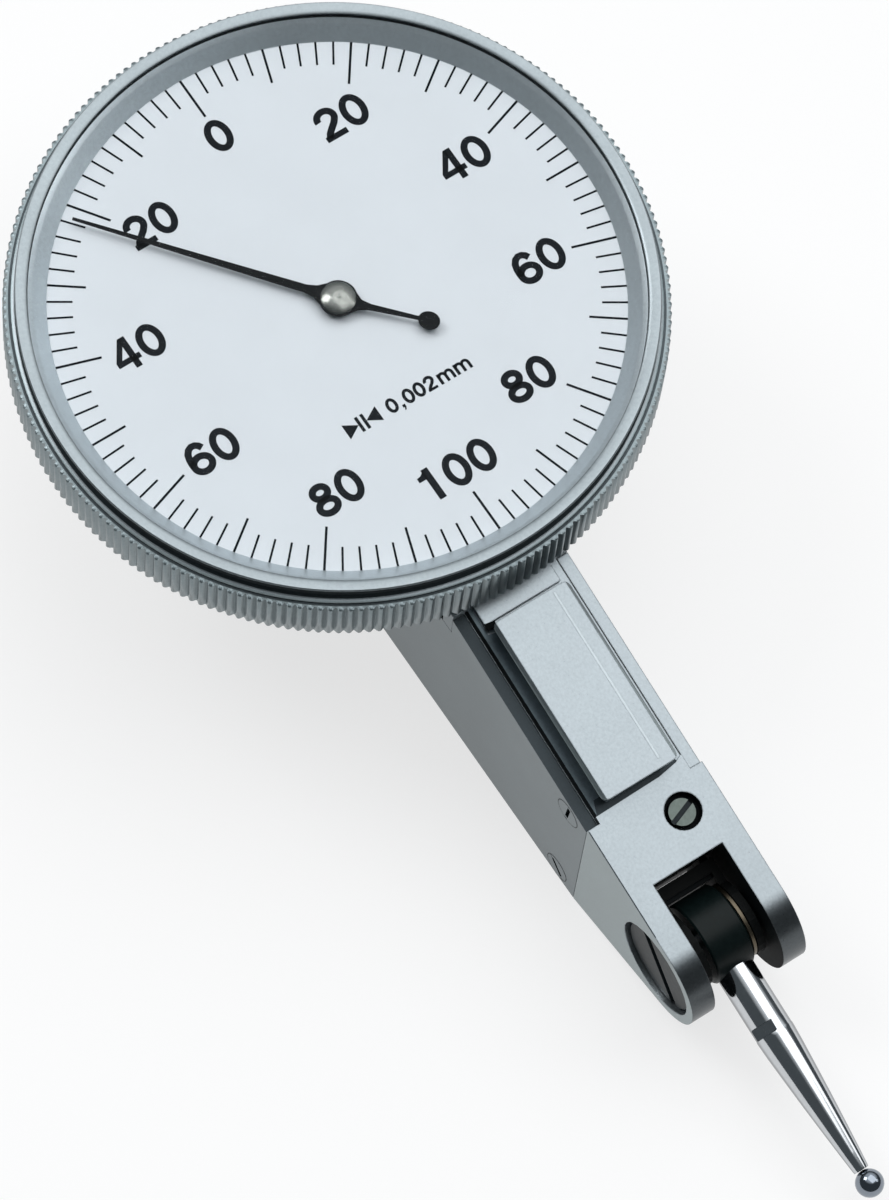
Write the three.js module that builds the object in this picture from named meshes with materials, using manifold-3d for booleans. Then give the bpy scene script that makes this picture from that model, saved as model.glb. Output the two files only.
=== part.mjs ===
// Lever dial test indicator with a 44 mm dial, a fork-mounted swivelling stylus and a geared movement.
// Millimetres. +X runs towards the stylus, +Z towards the dial.
// The origin is on the flat back, straight under the dial axis.

import * as THREE from 'three';
import { mergeVertices } from 'three/addons/utils/BufferGeometryUtils.js';
import Module from 'manifold-3d';

const wasm = await Module();
wasm.setup();

// Clearances shared by all fits
const runningGap = 0.3;
const seatGap = 0.05;
const bearingGap = 0.15;
const meshGap = 0.12;
const cutOverrun = 1;
const weldTolerance = 1e-5;

// Body bar
const bodyWidth = 9.1;
const coverThickness = 0.9;
const rearInset = 0.3;
const coverSetback = 8.8;
const faceSlope = 12;
const backWall = 1.5;
const windowRear = 8.5;
const forkRoot = 3.6;
const rimWall = 1.3;
const edgeBreak = 0.25;

// Fork and stylus pivot
const pivotX = 46;
const noseRadius = 4.3;
const earThickness = 1.8;
const recessRadius = 3.6;
const recessDepth = 0.9;

// Front dovetail rail
const railWidth = 6;
const railRise = 1.7;
const railClearance = 1.1;
const railEnd = 10.8;
const railCorner = 0.5;
const railFlankAngle = 60;
const grooveDrop = 0.5;
const grooveRear = 1.8;
const grooveFront = 0.95;

// Rear dovetail rail
const rearRailRise = 1.6;
const rearRailFoot = 1.2;
const rearRailDrop = 1.2;

// Dial head of the body
const headStep = 1.8;
const floorThickness = 2;
const headWall = 1.3;
const neckClearance = 0.5;
const neckDrop = 1.1;
const headChamfer = 0.8;

// Dial, bezel and crystal
const caseHeight = 8;
const dialThickness = 0.5;
const dialHole = 1.6;
const dialLedge = 1;
const bezelRadius = 22.1;
const bezelWall = 2.1;
const bezelDepth = 3.75;
const bezelRise = 1.8;
const bezelFaceStep = 0.8;
const knurlRise = 0.4;
const knurlDepth = 0.36;
const knurlTeeth = 208;
const beadStep = 0.5;
const beadHeight = 0.16;
const coneWidth = 0.85;
const coneLand = 0.15;
const crystalThickness = 0.45;
const crystalHeight = 1.3;

// Bezel friction wire
const wireRadius = 0.3;
const wireRise = 1.35;
const wireOpening = 40;

// Pointer
const pointerInset = 1.25;
const pointerTail = 7.2;
const pointerAngle = 219.3;
const pointerHeight = 0.5;
const pointerThickness = 0.2;
const pointerRootWidth = 0.56;
const pointerTipWidth = 0.2;
const pointerHubRadius = 1.3;
const weightRadius = 0.7;
const capRadius = 1.2;
const capRise = 1.05;

// Movement
const arborRadius = 0.45;
const pinCoreRadius = 0.3;
const bushRadius = 1;
const bushDepth = 0.45;
const bushLength = 0.75;
const crownMeanRadius = 4.7;
const crownToothWidth = 0.9;
const crownRoom = 0.7;
const crownToothHeight = 0.5;
const crownDiscThickness = 0.6;
const crownTeeth = 60;
const centrePinionTeeth = 8;
const drivePinionRadius = 1;
const drivePinionTeeth = 10;
const drivePinionWidth = 1.2;
const sectorSetback = 9.1;
const sectorSpread = 11;
const sectorThickness = 0.9;
const sectorRim = 1.1;
const sectorHubRadius = 1.7;
const toothDepthShare = 0.5;
const travelPerTurn = 0.2;
const drivePinRadius = 0.4;
const sectorLayer = -1.6;
const cockThickness = 1.1;
const cockClearance = 0.4;
const jewelRadius = 0.65;
const centrePinionLength = 2.7;

// Upper bridge and hairspring
const bridgeHalfLength = 9.6;
const bridgeFoot = 3.2;
const bridgeWidth = 5;
const bridgeHeadroom = 0.8;
const bridgeThickness = 1.2;
const upperJewelRadius = 1.2;
const springInner = 1.7;
const springClearance = 0.7;
const springTurns = 5;
const springWire = 0.15;
const springSteps = 8;
const springSides = 5;
const colletRadius = 1.1;
const colletHeight = 0.8;
const studWidth = 0.9;

// Fork parts and stylus
const drumRadius = 3;
const washerThickness = 0.3;
const cheekThickness = 0.6;
const cheekRadius = 2.75;
const leverArmHeight = 2.1;
const leverEndRadius = 1;
const yokeBarDepth = 0.9;
const yokeBarHeight = 2.6;
const journalRadius = 0.9;
const screwShankRadius = 1.5;
const stylusLength = 19.4;
const stylusShankRadius = 1.3;
const socketWall = 0.2;
const stylusCollarStart = 3.1;
const stylusCollarEnd = 6.9;
const stylusNeckRadius = 0.8;
const stylusNeckLength = 0.7;
const stylusTipRadius = 0.52;
const ballRadius = 1;

// Screws
const coverScrewRadius = 0.75;
const coverScrewShank = 0.4;
const coverScrewHead = 0.45;
const coverScrewLength = 1.8;
const coverScrewSetback = 2.1;
const coverScrewRise = 4.7;
const coverScrewLow = 1.15;
const bridgeScrewRadius = 1.1;
const bridgeScrewHead = 0.7;
const bridgeScrewShank = 0.5;
const bridgeScrewGrip = 3;
const faceScrewRadius = 0.95;
const faceRecessRadius = 1.3;
const faceScrewBack = 7.7;
const faceScrewSide = 1.65;
const faceRecessDepth = 0.9;
const faceScrewDrop = 0.35;
const faceScrewLength = 2.6;
const firstSlotTurn = 35;
const nextSlotTurn = 50;
const slotCutWidth = 0.3;
const slotCutDepth = 0.25;
const wideSlotWidth = 0.8;
const wideSlotDepth = 0.4;
const pivotSlotTurn = -50;

// Facet counts
const fineSegments = 44;
const roundSegments = 24;
const smallSegments = 12;
const noseSegments = 24;
const cornerSteps = 4;

// Derived sizes of the body
const slope = THREE.MathUtils.degToRad(faceSlope);
const flankAngle = THREE.MathUtils.degToRad(railFlankAngle);
const halfBody = bodyWidth / 2;
const halfCore = halfBody - coverThickness;
const crownOuter = crownMeanRadius + crownToothWidth / 2;
const pivotZ = backWall + runningGap + crownOuter;
const headBottom = pivotZ + crownOuter + crownRoom + rimWall + seatGap * 2;
const windowTop = headBottom - seatGap * 2;
const coverFront = pivotX - coverSetback;
const windowFront = coverFront - forkRoot;
const faceLevel = noseRadius;
const grooveLevel = faceLevel - grooveDrop;
const railTopLevel = faceLevel + railRise;
const railStart = (pivotX + railTopLevel * Math.sin(slope) - bezelRadius - railClearance) / Math.cos(slope);
const rearRailTop = headBottom - rearRailDrop;

// Derived sizes of the dial head
const dialHeight = headBottom + caseHeight;
const dialRadius = bezelRadius - bezelWall;
const bezelBore = dialRadius - dialLedge;
const bezelBottom = dialHeight - bezelDepth;
const bezelTop = dialHeight + bezelRise;
const bezelFaceOuter = bezelRadius - bezelFaceStep;
const bezelFaceInner = dialRadius + bearingGap;
const beadRadius = bezelRadius - beadStep;
const knurlTop = dialHeight + knurlRise;
const coneInner = dialRadius - coneWidth;
const coneOuter = dialRadius - coneLand;
const neckRadius = bezelBore - neckClearance;
const neckTop = dialHeight - neckDrop;
const headRadius = neckRadius + headStep;
const headFloor = headBottom + floorThickness;
const bodyRear = headRadius - rearInset;
const wireCentre = (neckRadius + bezelBore) / 2;
const wireHeight = bezelBottom + wireRise;
const pointerLength = coneInner - pointerInset;
const bridgeTop = dialHeight - dialThickness - bridgeHeadroom - bridgeScrewHead;
const bridgeUnderside = bridgeTop - bridgeThickness;
const springHeight = (headFloor + bridgeUnderside) / 2;
const springOuter = bridgeHalfLength - bridgeFoot - springClearance;

// Derived sizes of the movement
const sectorPivotX = windowFront - sectorSetback;
const sectorReach = sectorPivotX - drivePinionRadius;
const crownPitch = 2 * Math.PI * crownMeanRadius / crownTeeth;
const centrePinionRadius = crownPitch * centrePinionTeeth / (2 * Math.PI);
const crownLayer = centrePinionRadius + meshGap + crownToothHeight;
const pointerRatio = 2 * Math.PI * stylusLength / travelPerTurn;
const gearRatio = (sectorReach / drivePinionRadius) * (crownTeeth / centrePinionTeeth);
const leverRatio = pointerRatio / gearRatio;
const leverSpan = pivotX - sectorPivotX;
const sectorArm = leverSpan / (1 + leverRatio);
const drivePinX = sectorPivotX + sectorArm;
const centrePinionStart = pivotZ + crownMeanRadius - centrePinionLength / 2;
const cockHeight = centrePinionStart - cockClearance - cockThickness;

// Derived sizes of the fork parts
const slotWidth = bodyWidth - 2 * earThickness;
const slotBack = drumRadius + yokeBarDepth + 2 * (runningGap + seatGap);
const cheekOuter = slotWidth / 2 - runningGap;
const cheekInner = cheekOuter - cheekThickness;
const drumLeft = cheekInner - runningGap;
const drumRight = cheekInner - washerThickness - 3 * seatGap;
const stylusCollarRadius = drumRight - socketWall;
const axleEnd = cheekInner + cheekThickness / 3;

// Mesh helpers
function toSolid(geometry) {
  const bare = geometry.clone();
  bare.deleteAttribute('normal');
  bare.deleteAttribute('uv');
  const merged = mergeVertices(bare, weldTolerance);
  const index = merged.index.array;
  const kept = [];
  for (let i = 0; i < index.length; i += 3) {
    const [a, b, c] = [index[i], index[i + 1], index[i + 2]];
    if (a !== b && b !== c && a !== c) kept.push(a, b, c);
  }
  return new wasm.Manifold(new wasm.Mesh({
    numProp: 3,
    vertProperties: new Float32Array(merged.attributes.position.array),
    triVerts: new Uint32Array(kept),
  }));
}

function toGeometry(solid) {
  const mesh = solid.getMesh();
  const geometry = new THREE.BufferGeometry();
  geometry.setAttribute('position', new THREE.BufferAttribute(new Float32Array(mesh.vertProperties), 3));
  geometry.setIndex(new THREE.BufferAttribute(new Uint32Array(mesh.triVerts), 1));
  geometry.computeVertexNormals();
  return geometry;
}

const join = (...shapes) => shapes.reduce((whole, shape) => whole.add(shape));
const cut = (shape, ...tools) => tools.reduce((rest, tool) => rest.subtract(tool), shape);

function outline(points) {
  return new THREE.Shape(points.map(([x, y]) => new THREE.Vector2(x, y)));
}

// A plan outline in X and Y, raised along Z
function plateXY(points, low, high, holes = []) {
  const shape = outline(points);
  for (const hole of holes) shape.holes.push(outline(hole));
  const geometry = new THREE.ExtrudeGeometry(shape, { depth: high - low, bevelEnabled: false });
  return toSolid(geometry.translate(0, 0, low));
}

// A side outline in X and Z, drawn out along Y
function plateXZ(points, low, high, holes = []) {
  const shape = outline(points);
  for (const hole of holes) shape.holes.push(outline(hole));
  const geometry = new THREE.ExtrudeGeometry(shape, { depth: high - low, bevelEnabled: false });
  return toSolid(geometry.rotateX(Math.PI / 2).translate(0, high, 0));
}

function block(xLow, xHigh, yLow, yHigh, zLow, zHigh) {
  const geometry = new THREE.BoxGeometry(xHigh - xLow, yHigh - yLow, zHigh - zLow);
  return toSolid(geometry.translate((xLow + xHigh) / 2, (yLow + yHigh) / 2, (zLow + zHigh) / 2));
}

// A turned shape about Z from pairs of radius and height
function turnedZ(profile, segments) {
  const points = profile.map(([r, z]) => new THREE.Vector2(r, z));
  return toSolid(new THREE.LatheGeometry(points, segments).rotateX(Math.PI / 2));
}

// A turned shape about a Y axis at (x, z) from pairs of radius and height along Y
function turnedY(profile, x, z, segments) {
  const points = profile.map(([r, y]) => new THREE.Vector2(r, y));
  return toSolid(new THREE.LatheGeometry(points, segments).translate(x, 0, z));
}

function discY(radius, x, z, low, high, segments = roundSegments) {
  return turnedY([[0, low], [radius, low], [radius, high], [0, high]], x, z, segments);
}

function ringY(inner, outer, x, z, low, high, segments = roundSegments) {
  return turnedY([[inner, low], [outer, low], [outer, high], [inner, high], [inner, low]], x, z, segments);
}

function discZ(radius, x, y, low, high, segments = smallSegments) {
  return turnedZ([[0, low], [radius, low], [radius, high], [0, high]], segments).translate([x, y, 0]);
}

function ringZ(inner, outer, low, high, segments = smallSegments) {
  return turnedZ([[inner, low], [outer, low], [outer, high], [inner, high], [inner, low]], segments);
}

function arcPoints(cx, cy, radius, from, to, steps) {
  const points = [];
  for (let i = 0; i <= steps; i++) {
    const angle = from + (to - from) * i / steps;
    points.push([cx + radius * Math.cos(angle), cy + radius * Math.sin(angle)]);
  }
  return points;
}

// The sloped frame: along the front face from the pivot, and out of that face
function sloped(along, out) {
  return [
    pivotX + along * Math.cos(slope) + out * Math.sin(slope),
    pivotZ - along * Math.sin(slope) + out * Math.cos(slope),
  ];
}

// The point of the sloped level at a given X
function slopedAt(x, out) {
  const along = (x - pivotX - out * Math.sin(slope)) / Math.cos(slope);
  return sloped(along, out);
}

// The point of the sloped level at a given Z
function slopedAtHeight(z, out) {
  const along = (pivotZ + out * Math.cos(slope) - z) / Math.sin(slope);
  return sloped(along, out);
}

// Turns a solid drawn with X along the front face and Z out of it into place
function ontoSlope(solid) {
  return solid.rotate([0, faceSlope, 0]).translate([pivotX, 0, pivotZ]);
}

// Body bar, fork, rails and dial head
function sideOutline() {
  const away = Math.hypot(pivotX - coverFront, pivotZ);
  const rise = Math.atan2(pivotZ, pivotX - coverFront) - Math.asin(noseRadius / away);
  const [start, end] = [rise - Math.PI / 2, Math.PI / 2 - slope];
  const nose = arcPoints(pivotX, pivotZ, noseRadius, start, end, noseSegments);
  return [
    [-bodyRear, 0],
    [coverFront, 0],
    ...nose,
    slopedAt(neckRadius, faceLevel),
    [neckRadius, headBottom],
    [-bodyRear, headBottom],
  ];
}

function coverOutline(gap, level) {
  const top = headBottom - gap;
  const grooveEnd = pivotX - (railStart + grooveRear) * Math.cos(slope) + grooveLevel * Math.sin(slope);
  const shoulder = grooveEnd + seatGap + gap;
  return [
    [-bodyRear, 0],
    [coverFront - gap, 0],
    slopedAt(coverFront - gap, level),
    slopedAt(shoulder, level),
    [shoulder, top],
    [-bodyRear, top],
  ];
}

function windowOutline() {
  const level = grooveLevel - rimWall;
  const top = windowTop - rimWall;
  return [
    [-windowRear, backWall],
    [windowFront, backWall],
    slopedAt(windowFront, level),
    slopedAtHeight(top, level),
    [-windowRear, top],
  ];
}

function roundedRectangle(xLow, xHigh, yHalf, corner) {
  const q = Math.PI / 2;
  return [
    ...arcPoints(xHigh - corner, yHalf - corner, corner, 0, q, cornerSteps),
    ...arcPoints(xLow + corner, yHalf - corner, corner, q, 2 * q, cornerSteps),
    ...arcPoints(xLow + corner, corner - yHalf, corner, 2 * q, 3 * q, cornerSteps),
    ...arcPoints(xHigh - corner, corner - yHalf, corner, 3 * q, 4 * q, cornerSteps),
  ];
}

// A dovetail rail along X with its top at the given height above its floor
function dovetail(xLow, xHigh, floor, rise) {
  const top = railWidth / 2;
  const flank = (rise - edgeBreak) / Math.tan(flankAngle);
  const section = outline([
    [-(top - flank), floor - cutOverrun / 2],
    [top - flank, floor - cutOverrun / 2],
    [top - flank, floor],
    [top, floor + rise - edgeBreak],
    [top - edgeBreak, floor + rise],
    [edgeBreak - top, floor + rise],
    [-top, floor + rise - edgeBreak],
    [flank - top, floor],
  ]);
  const bar = new THREE.ExtrudeGeometry(section, { depth: xHigh - xLow, bevelEnabled: false });
  bar.rotateX(Math.PI / 2).rotateZ(Math.PI / 2).translate(xLow, 0, 0);
  const corners = roundedRectangle(xLow, xHigh, top, railCorner);
  const plan = plateXY(corners, floor - cutOverrun, floor + rise + cutOverrun);
  return toSolid(bar).intersect(plan);
}

// Places of the cover screws, one above and one below the seam and one in the rear block
const coverScrewPlaces = [
  [coverFront - coverScrewSetback, pivotZ + coverScrewRise],
  [coverFront - coverScrewSetback, coverScrewLow],
  [-(bodyRear + windowRear) / 2, pivotZ],
];

function bodyFrame() {
  const bar = plateXZ(sideOutline(), -halfBody, halfBody);
  const seat = headBottom - seatGap;
  const headSeat = discZ(headRadius + runningGap, 0, 0, seat, seat + headRadius, fineSegments);
  const body = cut(bar, headSeat);

  // Beds of the two side covers
  const bed = coverOutline(0, grooveLevel + seatGap);
  bed[0][0] -= cutOverrun;
  bed[5][0] -= cutOverrun;
  bed[0][1] -= cutOverrun;
  bed[1][1] -= cutOverrun;
  const leftBed = plateXZ(bed, -halfBody - cutOverrun, -halfCore);
  const rightBed = plateXZ(bed, halfCore, halfBody + cutOverrun);

  // The channels beside the rail
  const railFoot = railWidth / 2 - (railRise + grooveDrop) / Math.tan(flankAngle);
  const groove = block(-railStart - grooveRear, -railEnd + grooveFront, -halfBody - cutOverrun,
    halfBody + cutOverrun, grooveLevel, railTopLevel + cutOverrun);
  const land = block(-railStart + railCorner, -railEnd - railCorner, -railFoot, railFoot,
    grooveLevel - cutOverrun, railTopLevel);
  const rearLand = block(-railStart - grooveRear - cutOverrun, -railStart - runningGap, -railWidth / 2,
    railWidth / 2, grooveLevel - cutOverrun, railTopLevel + 2 * cutOverrun);
  const channels = ontoSlope(cut(groove, land, rearLand));

  // Fork slot, lever passage and movement window
  const slot = ontoSlope(block(-slotBack, noseRadius + cutOverrun, -slotWidth / 2, slotWidth / 2,
    -pivotZ - cutOverrun, noseRadius + cutOverrun));
  const armGap = leverArmHeight / 2 + runningGap * 2;
  const passage = block(windowFront - cutOverrun, pivotX - slotBack + cutOverrun, cheekInner - runningGap,
    slotWidth / 2, pivotZ - armGap, pivotZ + armGap);
  const window = plateXZ(windowOutline(), -halfBody, halfBody);

  // Pivot screw seats through both ears
  const past = halfBody + cutOverrun;
  const shaft = discY(screwShankRadius + seatGap, pivotX, pivotZ, -past, past);
  const leftRecess = discY(recessRadius, pivotX, pivotZ, -past, recessDepth - halfBody);
  const rightRecess = discY(recessRadius, pivotX, pivotZ, halfBody - recessDepth, past);

  // Seat of the small slotted screw in the front face
  const faceRecess = discZ(faceRecessRadius, -faceScrewBack, faceScrewSide, faceLevel - faceRecessDepth,
    faceLevel + cutOverrun, roundSegments);
  const faceBore = discZ(faceScrewRadius + seatGap, -faceScrewBack, faceScrewSide,
    faceLevel - faceScrewDrop - faceScrewLength - runningGap, faceLevel);
  const faceSeat = ontoSlope(join(faceRecess, faceBore));

  // Bores for the cover screws
  const coverBores = coverScrewPlaces.flatMap(([x, z]) => [-1, 1].map((side) => {
    const deep = side * (halfBody - coverScrewHead - coverScrewLength - runningGap);
    const out = side * (halfCore + cutOverrun);
    return discY(coverScrewShank + seatGap, x, z, Math.min(deep, out), Math.max(deep, out), smallSegments);
  }));

  const rail = ontoSlope(dovetail(-railStart, -railEnd, grooveLevel, railRise + grooveDrop));
  const carved = cut(body, leftBed, rightBed, channels, window);
  const whole = join(carved, rail, rearRail());
  return cut(whole, slot, passage, shaft, leftRecess, rightRecess, faceSeat, arborBore(), ...bridgeBores(),
    ...coverBores);
}

// The round case that carries the dial: a floor, a wall and a neck with the groove for the friction wire
function dialCase() {
  const inside = neckRadius - headWall;
  const neckGroove = wireRadius + runningGap;
  const cup = turnedZ([
    [0, headBottom],
    [headRadius - headChamfer, headBottom],
    [headRadius, headBottom + headChamfer],
    [headRadius, bezelBottom - runningGap],
    [neckRadius, bezelBottom - runningGap],
    [neckRadius, wireHeight - neckGroove],
    [wireCentre - neckGroove, wireHeight - neckGroove],
    [wireCentre - neckGroove, wireHeight + neckGroove],
    [neckRadius, wireHeight + neckGroove],
    [neckRadius, neckTop],
    [inside, neckTop],
    [inside, headFloor],
    [0, headFloor],
  ], fineSegments);
  return cut(cup, arborBore(), ...bridgeBores());
}

function arborBore() {
  return discZ(colletRadius + runningGap, 0, 0, headBottom - rimWall - cutOverrun, headFloor + cutOverrun);
}

function bridgeBores() {
  return [-1, 1].map((side) => discZ(bridgeScrewShank + seatGap, side * bridgeScrewPlace(), 0,
    headFloor - bridgeScrewGrip - seatGap, headFloor + cutOverrun));
}

function rearRail() {
  const length = rearRailTop - rearRailFoot;
  const rail = dovetail(-length / 2, length / 2, 0, rearRailRise);
  return rail.rotate([0, -90, 0]).translate([-bodyRear, 0, rearRailFoot + length / 2]);
}

function bridgeScrewPlace() {
  return bridgeHalfLength - bridgeFoot / 2;
}

// A side cover with countersunk screw holes and blind bush seats, on the side given by -1 or 1
function sideCover(side) {
  const inner = side * (halfCore + seatGap);
  const outer = side * halfBody;
  const plate = plateXZ(coverOutline(seatGap, grooveLevel), Math.min(inner, outer), Math.max(inner, outer));
  const holes = coverScrewPlaces.flatMap(([x, z]) => {
    const through = discY(coverScrewShank + bearingGap, x, z, -halfBody - cutOverrun, halfBody + cutOverrun,
      smallSegments);
    const deep = outer - side * (coverScrewHead + seatGap);
    const out = outer + side * cutOverrun;
    const [low, high] = [Math.min(deep, out), Math.max(deep, out)];
    return [through, discY(coverScrewRadius + seatGap, x, z, low, high, smallSegments)];
  });
  const seats = [0, sectorPivotX].map((x) => {
    const deep = inner + side * bushDepth;
    const out = inner - side * cutOverrun;
    return discY(bushRadius + seatGap, x, pivotZ, Math.min(deep, out), Math.max(deep, out), smallSegments);
  });
  return cut(plate, ...holes, ...seats);
}

// A slotted screw along Z with its head top at zero
function slottedScrew(headRadius, headHeight, shankRadius, length, slotWide, slotDeep, segments) {
  const body = turnedZ([
    [0, -headHeight - length],
    [shankRadius, -headHeight - length],
    [shankRadius, -headHeight],
    [headRadius, -headHeight],
    [headRadius, 0],
    [0, 0],
  ], segments);
  const reach = headRadius + cutOverrun;
  const slot = block(-reach, reach, -slotWide / 2, slotWide / 2, -slotDeep, cutOverrun);
  return cut(body, slot);
}

function coverScrew([x, z], side, turn) {
  const screw = slottedScrew(coverScrewRadius, coverScrewHead, coverScrewShank, coverScrewLength,
    slotCutWidth, slotCutDepth, smallSegments);
  return screw.rotate([0, 0, turn]).rotate([side < 0 ? 90 : -90, 0, 0]).translate([x, side * halfBody, z]);
}

// A pivot screw with its slotted head in the ear's recess and a journal in the cheek
function pivotScrew(side) {
  const head = recessDepth - runningGap;
  const shankEnd = halfBody - slotWidth / 2;
  const journalEnd = halfBody - axleEnd - seatGap;
  const body = turnedZ([
    [0, -journalEnd],
    [journalRadius, -journalEnd],
    [journalRadius, -shankEnd],
    [screwShankRadius, -shankEnd],
    [screwShankRadius, -recessDepth + seatGap],
    [recessRadius - runningGap, -recessDepth + seatGap],
    [recessRadius - runningGap, head - recessDepth],
    [0, head - recessDepth],
  ], roundSegments);
  const slot = block(-recessRadius, recessRadius, -wideSlotWidth / 2, wideSlotWidth / 2,
    head - recessDepth - wideSlotDepth, cutOverrun);
  const screw = cut(body, slot).rotate([0, 0, -side * pivotSlotTurn]);
  return screw.rotate([side < 0 ? 90 : -90, 0, 0]).translate([pivotX, side * halfBody, pivotZ]);
}

function faceScrew() {
  const screw = slottedScrew(faceScrewRadius, faceScrewLength / 2, coverScrewShank, faceScrewLength / 2,
    slotCutWidth, slotCutDepth, smallSegments);
  const turned = screw.rotate([0, 0, -faceSlope]);
  return ontoSlope(turned.translate([-faceScrewBack, faceScrewSide, faceLevel - faceScrewDrop]));
}

// Bezel with a straight knurl, a bead, a cove and a raised face ring
function bezelRing() {
  const root = bezelRadius - knurlDepth;
  const grooveOut = wireCentre + wireRadius + runningGap;
  const grooveHalf = wireRadius + runningGap;
  const ledge = dialHeight - dialThickness - seatGap;
  const wall = dialRadius + bearingGap;
  const ring = turnedZ([
    [bezelBore, bezelBottom],
    [root - knurlDepth, bezelBottom],
    [root - knurlDepth, knurlTop],
    [beadRadius - beadHeight, knurlTop],
    [beadRadius, knurlTop + beadHeight],
    [beadRadius - beadHeight, knurlTop + 2 * beadHeight],
    [bezelFaceOuter, knurlTop + 3 * beadHeight],
    [bezelFaceOuter, bezelTop - beadHeight],
    [bezelFaceOuter - beadHeight, bezelTop],
    [bezelFaceInner, bezelTop - beadHeight],
    [wall, bezelTop - 2 * beadHeight],
    [wall, ledge],
    [bezelBore, ledge],
    [bezelBore, wireHeight + grooveHalf],
    [grooveOut, wireHeight + grooveHalf],
    [grooveOut, wireHeight - grooveHalf],
    [bezelBore, wireHeight - grooveHalf],
    [bezelBore, bezelBottom],
  ], fineSegments);
  return join(ring, knurlBand(root));
}

function knurlBand(root) {
  const points = [];
  for (let i = 0; i < knurlTeeth; i++) {
    for (const [radius, shift] of [[root, 0], [bezelRadius, toothDepthShare]]) {
      const angle = 2 * Math.PI * (i + shift) / knurlTeeth;
      points.push([radius * Math.cos(angle), radius * Math.sin(angle)]);
    }
  }
  const inner = arcPoints(0, 0, root - 2 * knurlDepth, 0, 2 * Math.PI, fineSegments).slice(1);
  return plateXY(points, bezelBottom + knurlDepth / 2, knurlTop - knurlDepth / 2, [inner]);
}

function dialPlate() {
  const rim = arcPoints(0, 0, dialRadius, 0, 2 * Math.PI, fineSegments).slice(1);
  const hole = arcPoints(0, 0, dialHole, 0, 2 * Math.PI, smallSegments).slice(1);
  return plateXY(rim, dialHeight - dialThickness, dialHeight, [hole]);
}

// The bevelled ring that holds the dial down and carries the crystal
function coneRing() {
  const top = dialHeight + crystalHeight;
  return turnedZ([
    [coneInner, dialHeight],
    [dialRadius, dialHeight],
    [dialRadius, top],
    [coneOuter, top],
    [coneInner, dialHeight + seatGap],
    [coneInner, dialHeight],
  ], fineSegments);
}

function crystal() {
  const low = dialHeight + crystalHeight;
  return turnedZ([[0, low], [dialRadius, low], [dialRadius, low + crystalThickness - seatGap],
    [dialRadius - seatGap, low + crystalThickness], [0, low + crystalThickness]], fineSegments);
}

// A tube of flat facets along a row of centre points
function tubeAlong(centres, radius, sides) {
  const up = new THREE.Vector3(0, 0, 1);
  const positions = [];
  const triangles = [];
  const last = centres.length - 1;
  centres.forEach((centre, k) => {
    const before = centres[Math.max(0, k - 1)];
    const after = centres[Math.min(last, k + 1)];
    const along = after.clone().sub(before).normalize();
    const side = along.clone().cross(up).normalize();
    for (let j = 0; j < sides; j++) {
      const angle = 2 * Math.PI * j / sides;
      const point = centre.clone().addScaledVector(side, radius * Math.cos(angle));
      point.addScaledVector(up, radius * Math.sin(angle));
      positions.push(point.x, point.y, point.z);
    }
  });
  for (let k = 0; k < last; k++) {
    for (let j = 0; j < sides; j++) {
      const next = (j + 1) % sides;
      const [a, b] = [k * sides + j, k * sides + next];
      const [c, d] = [b + sides, a + sides];
      triangles.push(a, c, b, a, d, c);
    }
  }
  for (let j = 1; j < sides - 1; j++) {
    triangles.push(0, j, j + 1);
    triangles.push(last * sides, last * sides + j + 1, last * sides + j);
  }
  const geometry = new THREE.BufferGeometry();
  geometry.setAttribute('position', new THREE.Float32BufferAttribute(positions, 3));
  geometry.setIndex(triangles);
  return toSolid(geometry);
}

function bezelWire() {
  const steps = fineSegments / 2;
  const gap = THREE.MathUtils.degToRad(wireOpening);
  const centres = [];
  for (let i = 0; i <= steps; i++) {
    const angle = Math.PI + gap / 2 + (2 * Math.PI - gap) * i / steps;
    const [x, y] = [wireCentre * Math.cos(angle), wireCentre * Math.sin(angle)];
    centres.push(new THREE.Vector3(x, y, wireHeight));
  }
  return tubeAlong(centres, wireRadius, springSides);
}

function springCentres() {
  const count = springTurns * springSteps;
  const centres = [];
  for (let i = 0; i <= count; i++) {
    const angle = Math.PI / 2 + 2 * Math.PI * i / springSteps;
    const radius = springInner + (springOuter - springInner) * i / count;
    centres.push(new THREE.Vector3(radius * Math.cos(angle), radius * Math.sin(angle), springHeight));
  }
  return centres;
}

// Least gap between neighbouring turns of the hairspring, along each radius through a point
function springGap(centres) {
  let least = Infinity;
  for (let i = 0; i + springSteps < centres.length; i++) {
    least = Math.min(least, centres[i].distanceTo(centres[i + springSteps]) - 2 * springWire);
  }
  return least;
}

function hairspring() {
  const centres = springCentres();
  console.log(`hairspring: least gap between turns ${springGap(centres).toFixed(3)} mm`);
  return tubeAlong(centres, springWire, springSides);
}

function springStud() {
  const near = springOuter + springWire + runningGap / 2;
  const half = studWidth / 2;
  return block(-half, half, near, near + studWidth, headFloor, springHeight + half);
}

function springCollet() {
  const low = springHeight - colletHeight / 2;
  const high = springHeight + colletHeight / 2;
  return ringZ(arborRadius + seatGap, colletRadius, low, high);
}

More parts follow.
